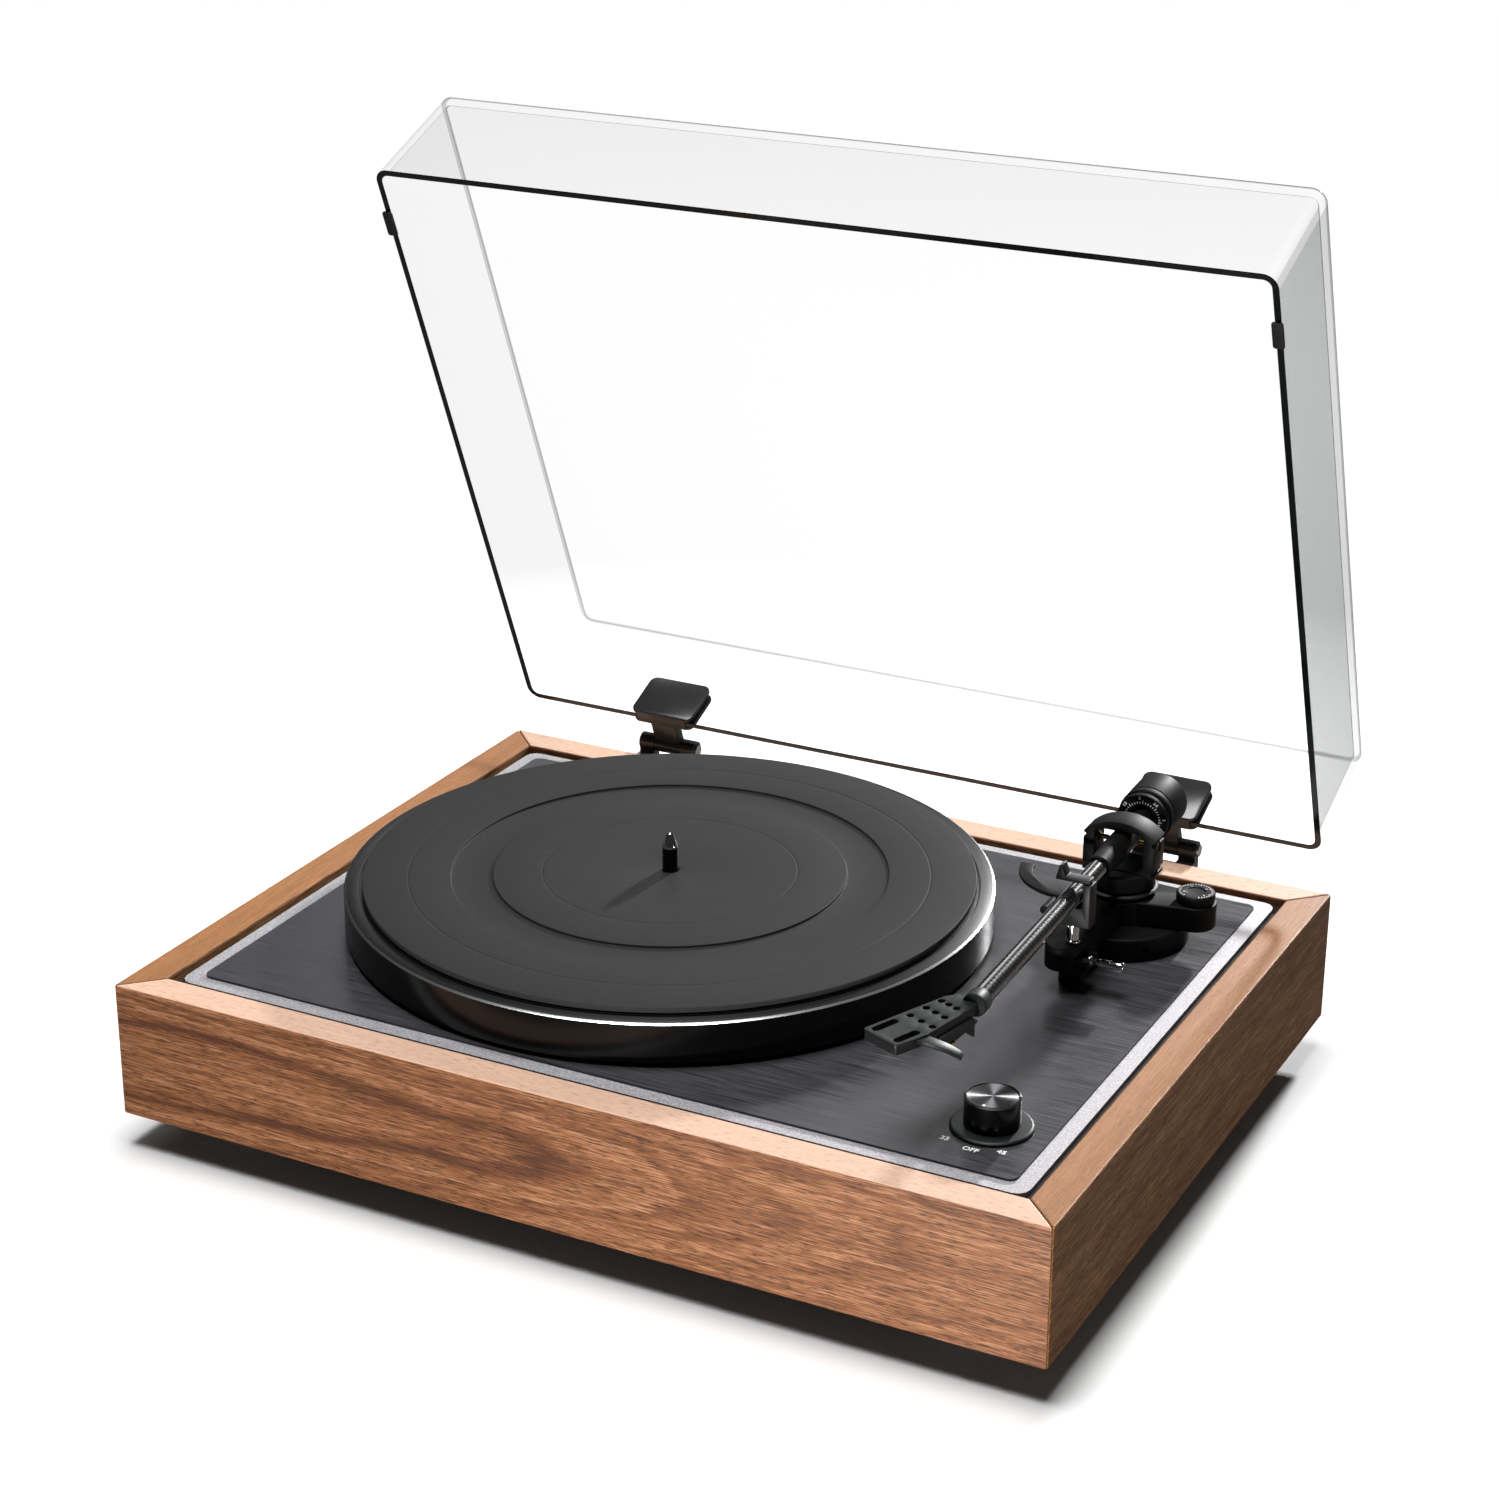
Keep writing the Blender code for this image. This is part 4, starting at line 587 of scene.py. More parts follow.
def prism(name: str, outline: Sequence[Point], z0: float, z1: float, place: Matrix = IDENTITY, ease: float = 0.0,
          holes: Iterable[Sequence[Point]] = (), steps: int = 2) -> bpy.types.Object:
    """A flat plate of an outline, with through holes and eased edges.

    Args:
        name: The piece's name.
        outline: Its outer edge.
        z0: Its lower face.
        z1: Its upper face.
        place: Where its frame stands.
        ease: The width of the round along its edges.
        holes: The outlines of its holes.
        steps: The round's segments.

    Returns:
        The plate.
    """
    bm = bmesh.new()
    edges = []
    for loop in (outline, *holes):
        verts = [bm.verts.new((x, y, z0)) for x, y in loop]
        edges += [bm.edges.new((a, b)) for a, b in zip(verts, verts[1:] + verts[:1])]
    if list(holes):
        bmesh.ops.triangle_fill(bm, edges=edges, use_beauty=True)
    else:
        bmesh.ops.contextual_create(bm, geom=edges)
    bmesh.ops.recalc_face_normals(bm, faces=bm.faces)
    grown = bmesh.ops.extrude_face_region(bm, geom=list(bm.faces))
    bmesh.ops.translate(bm, verts=[v for v in grown["geom"] if isinstance(v, bmesh.types.BMVert)], vec=(0, 0, z1 - z0))
    bmesh.ops.recalc_face_normals(bm, faces=bm.faces)
    if ease:
        ease_edges(bm, ease, steps)
    return shape(name, bm, place)


def lathe(name: str, profile: Sequence[Point], place: Matrix = IDENTITY, steps: int = 48, closed: bool = False,
          bands: Sequence[int] = ()) -> bpy.types.Object:
    """A profile turned about Z.

    Args:
        name: The piece's name.
        profile: Its (radius, height) points.
        place: Where its frame stands.
        steps: Segments round the axis.
        closed: Whether the profile is a loop that clears the axis.
        bands: The material number of each stretch of the profile.

    Returns:
        The turned solid.
    """
    bm = bmesh.new()
    turns = [(math.cos(math.tau * i / steps), math.sin(math.tau * i / steps)) for i in range(steps)]
    rings = [[bm.verts.new((0, 0, h))] if r < 1e-7 else [bm.verts.new((r * c, r * s, h)) for c, s in turns]
             for r, h in profile]
    for k, (a, b) in enumerate(zip(rings, rings[1:] + (rings[:1] if closed else []))):
        for i in range(steps):
            j = (i + 1) % steps
            corners = list(dict.fromkeys((a[i % len(a)], a[j % len(a)], b[j % len(b)], b[i % len(b)])))
            if len(corners) > 2:
                bm.faces.new(corners).material_index = bands[k] if k < len(bands) else 0
    return shape(name, bm, place)


def block(name: str, low: Sequence[float], high: Sequence[float], place: Matrix = IDENTITY, ease: float = 0.0004,
          steps: int = 2) -> bpy.types.Object:
    """A box between two corners with eased edges."""
    outline = [(low[0], low[1]), (high[0], low[1]), (high[0], high[1]), (low[0], high[1])]
    return prism(name, outline, low[2], high[2], place, ease, steps=steps)


def sweep(name: str, sections: Sequence[Sequence[Vector]], place: Matrix = IDENTITY,
          ease: float = 0.0) -> bpy.types.Object:
    """A solid through closed sections that follow each other, capped at both ends."""
    bm = bmesh.new()
    loops = [[bm.verts.new(p) for p in section] for section in sections]
    for a, b in zip(loops, loops[1:]):
        for i in range(len(a)):
            j = (i + 1) % len(a)
            bm.faces.new((a[i], a[j], b[j], b[i]))
    bm.faces.new(loops[0])
    bm.faces.new(loops[-1])
    bmesh.ops.recalc_face_normals(bm, faces=bm.faces)
    if ease:
        ease_edges(bm, ease)
    return shape(name, bm, place)


def combine(target: bpy.types.Object, others: Iterable[bpy.types.Object], operation: str = "UNION") -> bpy.types.Object:
    """Joins solids to target, or cuts them from it, and removes them."""
    for other in others:
        cutter = target.modifiers.new(operation, "BOOLEAN")
        cutter.operation, cutter.solver, cutter.object = operation, "EXACT", other
        bpy.context.view_layer.update()
        graph = bpy.context.evaluated_depsgraph_get()
        made = bpy.data.meshes.new_from_object(target.evaluated_get(graph))
        target.modifiers.remove(cutter)
        target.data = made
        bpy.data.objects.remove(other, do_unlink=True)
    target.data.shade_smooth()
    target.data.set_sharp_from_angle(angle=math.radians(SHARP))
    return target


def gather(name: str, parts: Sequence[bpy.types.Object]) -> bpy.types.Object:
    """One object out of several that stand beside each other, such as the ticks of a scale."""
    bm = bmesh.new()
    for part in parts:
        bm.from_mesh(part.data)
        bpy.data.objects.remove(part, do_unlink=True)
    return shape(name, bm)


def lettering(name: str, text: str, height: float, place: Matrix, thick: float = 0.00004) -> bpy.types.Object:
    """Plain printed figures, centred on a place and facing along its Z.

    Args:
        name: The piece's name.
        text: The figures.
        height: The figures' height.
        place: Where their centre stands.
        thick: The ink's thickness.

    Returns:
        The print as a thin solid.
    """
    curve = bpy.data.curves.new(name, "FONT")
    curve.body, curve.size, curve.align_x, curve.align_y = text, height * 1.37, "CENTER", "CENTER"
    curve.extrude, curve.offset = thick / 2, height * 0.04
    curve.resolution_u = 4
    source = bpy.data.objects.new(name, curve)
    bpy.context.scene.collection.objects.link(source)
    bpy.context.view_layer.update()
    mesh = bpy.data.meshes.new_from_object(source.evaluated_get(bpy.context.evaluated_depsgraph_get()))
    bpy.data.objects.remove(source, do_unlink=True)
    bm = bmesh.new()
    bm.from_mesh(mesh)
    bmesh.ops.remove_doubles(bm, verts=bm.verts, dist=1e-6)
    bmesh.ops.triangulate(bm, faces=bm.faces)
    return shape(name, bm, place)


def along(at: Sequence[float], toward: Sequence[float], up: Sequence[float] = (0.0, 0.0, 1.0)) -> Matrix:
    """A place at a point whose Z axis runs toward a direction."""
    z = Vector(toward).normalized()
    x = Vector(up).cross(z)
    x = x.normalized() if x.length > 1e-6 else Vector((1.0, 0.0, 0.0))
    turn = Matrix((x, z.cross(x), z)).transposed().to_4x4()
    return Matrix.Translation(at) @ turn


def shift(x: float, y: float, z: float) -> Matrix:
    """A place moved by x, y and z."""
    return Matrix.Translation((x, y, z))


def spin(degrees: float, axis: str) -> Matrix:
    """A turn about an axis."""
    return Matrix.Rotation(math.radians(degrees), 4, axis)


def joint(name: str) -> dict[str, Any]:
    """The record's joint of that name."""
    return next(j for j in frame["joints"] if j["name"] == name)


def middle(node: str) -> Vector:
    """The middle of a CAD node's box."""
    low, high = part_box(node)
    return (low + high) / 2


def fit(piece: bpy.types.Object, body: Body, slot: str, *nodes: str) -> bpy.types.Object:
    """Hangs a finished piece on its body.

    Args:
        piece: The piece, in place.
        body: The body it moves with.
        slot: The record's material slot that its finish belongs to; not used.
        nodes: The plain CAD solids that it stands for.

    Returns:
        The piece.
    """
    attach(piece, body.value)
    if nodes:
        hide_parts(*nodes)
    LOG.info("%s rides on %s", piece.name, body.value)
    return piece


def dress(node: str, finish: Finish) -> None:
    """Gives a CAD node that stays in sight its finish."""
    paint(frame["nodes"][node], finish)
    LOG.info("%s wears %s", node, finish.name)


# ---------------------------------------------------------------- plinth frame
DECK = shift(0.0, (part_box("plinth_front")[0].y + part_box("plinth_back")[1].y) / 2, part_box("plinth_front")[1].z)
PIVOT = Vector(joint("arm_yaw")["pos_m"])
BASE = shift(PIVOT.x, PIVOT.y, DECK.translation.z)
ARM_BACK = Vector(joint("weight_slide")["axis"]).normalized()
ARM_RIGHT = -Vector(joint("arm_pitch")["axis"]).normalized()
TUBE = Matrix.Translation(PIVOT) @ Matrix((ARM_RIGHT, ARM_BACK, ARM_RIGHT.cross(ARM_BACK))).transposed().to_4x4()
YOKE = Matrix.Translation(PIVOT) @ Matrix((ARM_RIGHT, Vector((0, 0, 1)).cross(ARM_RIGHT),
                                           Vector((0, 0, 1)))).transposed().to_4x4()
HINGE = Vector(joint("lid_hinge")["pos_m"])
CLOSED = Matrix.Translation(HINGE) @ spin(-joint("lid_hinge")["range_deg"][1], "X") @ Matrix.Translation(-HINGE) @ DECK
FORWARD = TUBE @ spin(90.0, "X")    # Z runs from the pivot to the headshell


# ---------------------------------------------------------------- plinth and deck
@dataclass
class Plinth:
    """Mitred walnut boards round a deck board painted black as shade, with a plate, a brushed panel, a base and four
    feet.
    """

    foot_radius: float = 0.022
    foot_neck: float = 0.016

    def build(self) -> None:
        """Dresses the boards and sheets, and builds the feet."""
        # The deck board wears painted shade: black, for the shadow in the gap round the plate.
        for node, finish in (("plinth_front", FRONT_WALNUT), ("plinth_back", BACK_WALNUT), ("plinth_left", SIDE_WALNUT),
                             ("plinth_right", SIDE_WALNUT), ("deck_board", BLACK_PIP_AND_GAP_SHADE),
                             ("border_plate", BORDER_ALUMINIUM),
                             ("deck_panel", PANEL_ANODISED), ("base_cover", MOULDED_ABS), ("circuit_board", CIRCUIT)):
            dress(node, finish)
        for corner in ("front_left", "front_right", "back_left", "back_right"):
            self.foot(corner)

    def foot(self, corner: str) -> None:
        """Turns one rubber foot with a waist and two grooves."""
        low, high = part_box(f"foot_{corner}")
        r, n = self.foot_radius, self.foot_neck
        tall = high.z - low.z
        side = [(r - 0.003, 0), (r, 0.003), (r, 0.0055), (r - 0.0008, 0.0061), (r - 0.0008, 0.0067), (r, 0.0073),
                (r, 0.0098),
                (r - 0.0008, 0.0104), (r - 0.0008, 0.0110), (r, 0.0116), (r, 0.0130), (n, 0.0150), (n, tall)]
        profile = [(0, 0.0012), (r - 0.008, 0.0012), (r - 0.0086, 0), *side, (0, tall)]
        foot = paint(lathe(f"rubber_foot_{corner}", eased(profile, 0.0005, 2),
                           Matrix.Translation(((low + high) / 2).xy.to_3d()) @ shift(0, 0, low.z),
                           64), BLACK_RUBBER)
        fit(foot, Body.PLINTH, "black_rubber", f"foot_{corner}")


@dataclass
class Terminals:
    """The plate at the rear with two signal jacks, a ground post and a power inlet."""

    shell: float = 0.0042
    nut: float = 0.0048
    long: float = 0.0120

    def build(self) -> None:
        """Builds the connectors on their plate."""
        dress("terminal_panel", MOULDED_ABS)
        for side, ring in (("left", WHITE_RING), ("right", RED_RING)):
            self.jack(f"signal_jack_{side}", ring)
        at = self.place("ground_post")
        post = [(0, -0.006), (0.0018, -0.006), (0.0018, GAP), (0.0045, GAP), (0.0045, 0.0052), (0.0040, 0.0058),
                (0.0040, 0.0064),
                (0.0045, 0.0070), (0.0030, 0.0090), (0, 0.0090)]
        fit(paint(lathe("ground_screw", eased(post, 0.0003), at, 40), TURNED_BRASS), Body.PLINTH, "brass",
            "ground_post")
        inlet = [(0, -0.010), (0.0040, -0.010), (0.0040, GAP), (0.0060, GAP), (0.0060, 0.0030), (0.0030, 0.0030),
                 (0.0030, -0.0070),
                 (0.0010, -0.0070), (0.0010, 0.0005), (0.0006, 0.0010), (0, 0.0010)]
        fit(paint(lathe("power_socket", eased(inlet, 0.0003), self.place("power_inlet"), 48), MOULDED_ABS), Body.PLINTH,
            "black_plastic",
            "power_inlet")

    def place(self, node: str) -> Matrix:
        """Where a connector stands: on the plate's rear face, facing the rear."""
        centre = middle(node)
        return along((centre.x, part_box("terminal_panel")[1].y, centre.z), (0, 1, 0))

    def jack(self, node: str, ring: Finish) -> None:
        """Turns one plated jack with its coloured ring."""
        s, n = self.shell, self.nut
        profile = [(0, -0.006), (0.003, -0.006), (0.003, GAP), (n, GAP), (n, 0.0018), (s, 0.0022), (s, self.long),
                   (s - 0.0008, self.long),
                   (s - 0.0008, 0.0065), (0.0016, 0.0065), (0.0016, 0.004), (0, 0.004)]
        fit(paint(lathe(f"{node}_shell", eased(profile, 0.0002, 2), self.place(node), 48), CHROME), Body.PLINTH,
            "chrome", node)
        band = [(s - 0.0010, 0.0066), (s - 0.0010, 0.0108), (0.0018, 0.0108), (0.0018, 0.0066)]
        fit(paint(lathe(f"{node}_ring", eased(band, 0.0002, 2, True), self.place(node), 48, True), ring), Body.PLINTH,
            "chrome")


# ---------------------------------------------------------------- platter
@dataclass
class Platter:
    """Cast platter with a diamond-cut edge, its ribbed rubber mat and the spindle."""

    radius: float = 0.150
    skirt: float = 0.006
    web: float = 0.006
    chamfer: float = 0.0011
    groove_in: float = 0.1419
    groove_out: float = 0.1432
    belt_ring: tuple[float, float] = (0.075, 0.080)
    hub: float = 0.020
    mat_radius: float = 0.1415
    mat_steps: tuple[float, float] = (0.0818, 0.1009)
    mat_drop: float = 0.0012
    faint_rings: tuple[float, float] = (0.0590, 0.1205)
    spindle_radius: float = 0.0036
    spindle_cone: float = 0.0064
    journal: float = 0.045
    flange: tuple[float, float, float] = (0.013, 0.0045, 0.008)

    def build(self) -> None:
        """Turns the three pieces and dresses what is under them."""
        centre = middle("spindle")
        at = shift(centre.x, centre.y, 0.0)
        self.dish(at)
        self.mat(at)
        self.spindle(at)
        for node, finish in (("bearing_housing", TURNED_BRASS), ("drive_belt", BLACK_RUBBER),
                             ("motor_pulley", TURNED_BRASS),
                             ("motor", ZINC_STEEL), ("motor_plate", ZINC_STEEL)):
            dress(node, finish)

    def dish(self, at: Matrix) -> None:
        """The platter: hub, web, belt ring and skirt."""
        low, high = (c.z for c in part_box("platter"))
        bore, web, skirt = self.spindle_radius + GAP, high - self.web, self.radius - self.skirt
        ring_in, ring_out = self.belt_ring
        hub_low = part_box("spindle")[0].z + self.journal + self.flange[2]
        c = self.chamfer
        outline = [(bore, hub_low), (self.hub, hub_low), (self.hub, web), (ring_in, web), (ring_in, low + 0.0025),
                   (ring_out, low + 0.0025),
                   (ring_out, web), (skirt, web), (skirt, low), (self.radius - 0.0006, low),
                   (self.radius, low + 0.0006),
                   (self.radius, high - 0.6 * c), (self.radius - c, high), (self.groove_out, high),
                   (self.groove_out, high - 0.0007),
                   (self.groove_in, high - 0.0007), (self.groove_in, high), (bore, high)]
        bands = [0] * 11 + [1] + [2] * 6
        dish = paint(lathe("cast_platter", outline, at, 240, True, bands), PLATTER_LACQUER,
                     TurnedMetal("diamond_cut_edge", "#f4f5f6", 0.24, 1.0, centre=tuple(at.translation), bump=0.03,
                                 anisotropy=0.3),
                     TurnedMetal("turned_black_top", "#232425", 0.42, 0.6, centre=tuple(at.translation), bump=0.10,
                                 ring_mm=0.9))
        fit(dish, Body.PLATTER, "platter_aluminium", "platter")

    def mat(self, at: Matrix) -> None:
        """The rubber mat: a sunk ring for the label's edge, and faint moulding rings."""
        low, high = (c.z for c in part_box("platter_mat"))
        bore = self.spindle_radius + GAP
        step_in, step_out = self.mat_steps
        inner, outer = ([(r + 0.0006, high), (r, high - 0.0002), (r - 0.0006, high)] for r in self.faint_rings)
        sunk = [(step_out, high), (step_out, high - self.mat_drop), (step_in, high - self.mat_drop), (step_in, high)]
        rim = [(self.mat_radius, low), (self.mat_radius, high)]
        outline = eased([(bore, low), *rim, *outer, *sunk, *inner, (bore, high)], 0.0005, 3, True)
        fit(paint(lathe("rubber_mat", outline, at, 200, True), MAT_RUBBER), Body.PLATTER, "mat_rubber", "platter_mat")

    def spindle(self, at: Matrix) -> None:
        """The shaft with its flange, coloured dark as a painted reflection, and the bright cone."""
        low, high = (c.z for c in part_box("spindle"))
        r, cone = self.spindle_radius, self.spindle_cone
        wide, bottom, top = self.flange
        flange, under_hub = low + self.journal + bottom, low + self.journal + top - GAP
        profile = [(0, low), (r, low), (r, flange), (wide, flange), (wide, under_hub), (r, under_hub),
                   (r, high - cone - 0.0012),
                   (r, high - cone - 0.0008), (r, high - cone), (0.0015, high - 0.0008), (0.0009, high - 0.0002),
                   (0, high)]
        # The shaft's band wears a painted dark reflection; the cone is chrome.
        bands = [0] * 7 + [1] * 5
        fit(paint(lathe("centre_spindle", profile, at, 64, False, bands), SHAFT_PAINTED_REFLECTION, CHROME), Body.PLATTER, "chrome",
            "spindle")


# ---------------------------------------------------------------- speed control
@dataclass
class SpeedControl:
    """The speed knob with its spun cap, its flange and the printed figures round it."""

    radius: float = 0.0118
    shaft: float = 0.0030
    flange_radius: float = 0.0174
    figures: tuple[tuple[str, float, float], ...] = (
        ("33", -0.0133, -0.0173), ("OFF", -0.0003, -0.0210), ("45", 0.0117, -0.0173))
    figure_height: float = 0.0029

    def build(self) -> None:
        """Builds the knob, the flange and the print."""
        centre = Vector(joint("speed_turn")["pos_m"])
        at = shift(centre.x, centre.y, 0.0)
        low, high = (c.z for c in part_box("speed_knob"))
        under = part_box("knob_flange")[1].z + GAP
        r, s = self.radius, self.shaft
        profile = [(0, low), (s, low), (s, under), (r - 0.0005, under), (r, under + 0.0005), (r, high - 0.0007),
                   (r - 0.0007, high),
                   (r - 0.0011, high), (r - 0.0013, high - 0.0003), (0, high - 0.0003)]
        spun = TurnedMetal("spun_black_cap", "#626365", 0.38, 1.0, centre=tuple(at.translation), bump=0.04, ring_mm=0.5,
                           anisotropy=0.96)
        rim = TurnedMetal("diamond_cut_knob", "#c9ccce", 0.18, 1.0, centre=tuple(at.translation), bump=0.02,
                          anisotropy=0.3)
        knob = paint(lathe("speed_control_knob", profile, at, 128, False, [0] * 5 + [1] + [0, 0] + [2] * 2),
                     PLATTER_LACQUER, rim, spun)
        fit(knob, Body.SPEED, "spun_black", "speed_knob")
        dot = lathe("speed_dot", [(0, 0), (0.0007, 0), (0.0007, 0.00004), (0, 0.00004)],
                    at @ shift(0, -0.0092, high - 0.0003), 24)
        fit(paint(dot, WHITE_INK), Body.SPEED, "spun_black")

        base, top = (c.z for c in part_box("knob_flange"))
        f = self.flange_radius
        ring = [(s + 0.001, base), (f, base), (f, top - 0.0007), (f - 0.0006, top - 0.0001), (f - 0.0012, top),
                (s + 0.001, top)]
        flange = paint(lathe("speed_flange", ring, at, 128, True), SLATE_BLACK)
        fit(flange, Body.PLINTH, "satin_black", "knob_flange")
        pip = lathe("flange_pip", [(0, 0), (0.0006, 0), (0.0004, 0.00012), (0, 0.00015)],
                    at @ shift(-0.0032, -0.0142, top), 20)
        fit(paint(pip, BLACK_PIP_AND_GAP_SHADE), Body.PLINTH, "satin_black")

        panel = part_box("deck_panel")[1].z
        for text, x, y in self.figures:
            figure = lettering(f"figure_{text.lower()}", text, self.figure_height, at @ shift(x, y, panel + 0.00002))
            fit(paint(figure, WHITE_INK), Body.PLINTH, "brushed_black")
        dress("speed_switch", MOULDED_ABS)


# ---------------------------------------------------------------- tonearm base
@dataclass
class ArmBase:
    """Drum, hub, the ear that carries the cueing and rest, and the ear with the anti-skate dial."""

    drum: float = 0.0318
    drum_top: float = 0.0105
    hub: float = 0.0173
    top: float = 0.022
    stud: float = 0.012
    stud_long: float = 0.024
    front_ear: tuple[float, float, float] = (-0.0023, -0.065, 0.0078)
    side_ear: tuple[float, float, float] = (0.035, 0.0023, 0.0098)
    ring: float = 0.017
    ring_top: float = 0.025
    dial: float = 0.0089
    dial_tall: float = 0.0046
    lever: tuple[float, float, float] = (0.0090, -0.0614, 0.0135)
    ball: float = 0.0026

    def build(self) -> None:
        """Builds the casting, the bearing ring and the dial."""
        self.casting()
        self.ring_and_pin()
        self.skate_dial()

    def casting(self) -> None:
        """The one-piece casting, its edges softly rounded."""
        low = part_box("deck_panel")[1].z - DECK.translation.z + GAP
        profile = [(0, -self.stud_long), (self.stud, -self.stud_long), (self.stud, low), (self.drum, low),
                   (self.drum, self.drum_top - 0.0008),
                   (self.drum - 0.0008, self.drum_top), (self.hub, self.drum_top), (self.hub, self.top - 0.0001),
                   (0, self.top - 0.0001)]
        body = lathe("arm_base_casting", eased(profile, 0.0006), BASE, 120)
        z0, z1 = self.drum_top - 0.0001, self.top + 0.0001
        x, y, r = self.front_ear
        front = [(x + r, -0.004), (0.004, -0.001), (-0.006, -0.001), (-0.0105, -0.012), *arc(x, y, r, 180, 360, 36)]
        kx, ky, kr = self.side_ear
        side = [(0.002, 0.0135), (0.002, -0.0135), (0.012, -0.0122), *arc(kx, ky, kr, -95, 95, 40)]
        parts = [prism("front_ear", front, z0, z1, BASE, 0.0009, steps=3),
                 prism("side_ear", side, z0, z1 - 0.00002, BASE, 0.0009, steps=3)]
        lx, ly, lz = self.lever
        for y0, y1 in ((ly - 0.0072, ly - self.ball - GAP), (ly + self.ball + GAP, ly + 0.0062)):
            parts.append(block("lever_lug", (x + r - 0.001, y0, lz - 0.0026), (lx + 0.002, y1, lz + 0.0026), BASE,
                               0.0007))
        combine(body, parts)
        holes = [lathe("lever_bore", [(0, -0.0068), (0.0015, -0.0068), (0.0015, 0.0068), (0, 0.0068)],
                       BASE @ along(self.lever, (0, -1, 0)), 20),
                 lathe("lift_bore", [(0, 0), (0.0025, 0), (0.0025, 0.03), (0, 0.03)], BASE @ shift(-0.0016, -0.0564, 0),
                       24),
                 lathe("set_screw_bore", [(0, 0), (0.0016, 0), (0.0016, 0.004), (0, 0.004)],
                       BASE @ along((0.0216, -0.0233, 0.0052), (-0.68, 0.733, 0))
                       @ shift(0, 0, -0.0016), 20)]
        combine(body, holes, "DIFFERENCE")
        fit(paint(body, SATIN_BLACK), Body.PLINTH, "satin_black", "arm_base")

    def ring_and_pin(self) -> None:
        """The bearing ring that catches the light, and the stop pin beside it."""
        z = self.top + GAP + 0.0001
        t = self.ring_top
        ring = [(0, z), (self.ring - 0.001, z), (self.ring - 0.001, t - 0.0016), (self.ring, t - 0.0012),
                (self.ring, t - 0.0008),
                (self.ring - 0.0012, t), (0, t)]
        fit(paint(lathe("bearing_ring", eased(ring, 0.0002, 2), BASE, 96), SLATE_BLACK), Body.PLINTH, "satin_black",
            "arm_bearing_ring")
        centre = middle("lift_stop_pin")
        pin = [(0, z), (0.0022, z), (0.0022, z + 0.0014), (0.0011, z + 0.0018), (0.0011, z + 0.0078),
               (0.0007, z + 0.0085), (0, z + 0.0085)]
        fit(paint(lathe("stop_pin", eased(pin, 0.0002, 2), shift(centre.x, centre.y, DECK.translation.z), 32),
                  TURNED_BRASS), Body.PLINTH, "chrome",
            "lift_stop_pin")

    def skate_dial(self) -> None:
        """The anti-skate dial: a cap with a printed scale."""
        centre = Vector(joint("anti_skate_turn")["pos_m"])
        at = shift(centre.x, centre.y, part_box("anti_skate_knob")[0].z)
        r, t = self.dial, self.dial_tall
        cap = [(0, 0), (r - 0.0004, 0), (r - 0.0004, 0.0007), (r, 0.0011), (r, t - 0.0006), (r - 0.0006, t),
               (0.0046, t), (0.0042, t - 0.0004), (0, t - 0.0004)]
        fit(paint(lathe("skate_dial", eased(cap, 0.0002, 2), at, 96), SATIN_BLACK), Body.SKATE, "satin_black",
            "anti_skate_knob")
        ticks = []
        for i in range(31):
            turn = at @ spin(-150 + 10 * i, "Z") @ shift(0, 0, t)
            long = 0.0014 if i % 5 == 0 else 0.0008
            ticks.append(block("tick", (-0.00015, r - 0.0011 - long, 0.0), (0.00015, r - 0.0011, 0.00004), turn, 0.0))
        for i, figure in enumerate(("0", "1", "2", "3")):
            turn = at @ spin(120 - 80 * i, "Z") @ shift(0, 0.0054, t)
            ticks.append(lettering("figure", figure, 0.0011, turn))
        fit(paint(gather("skate_scale", ticks), WHITE_INK), Body.SKATE, "satin_black")


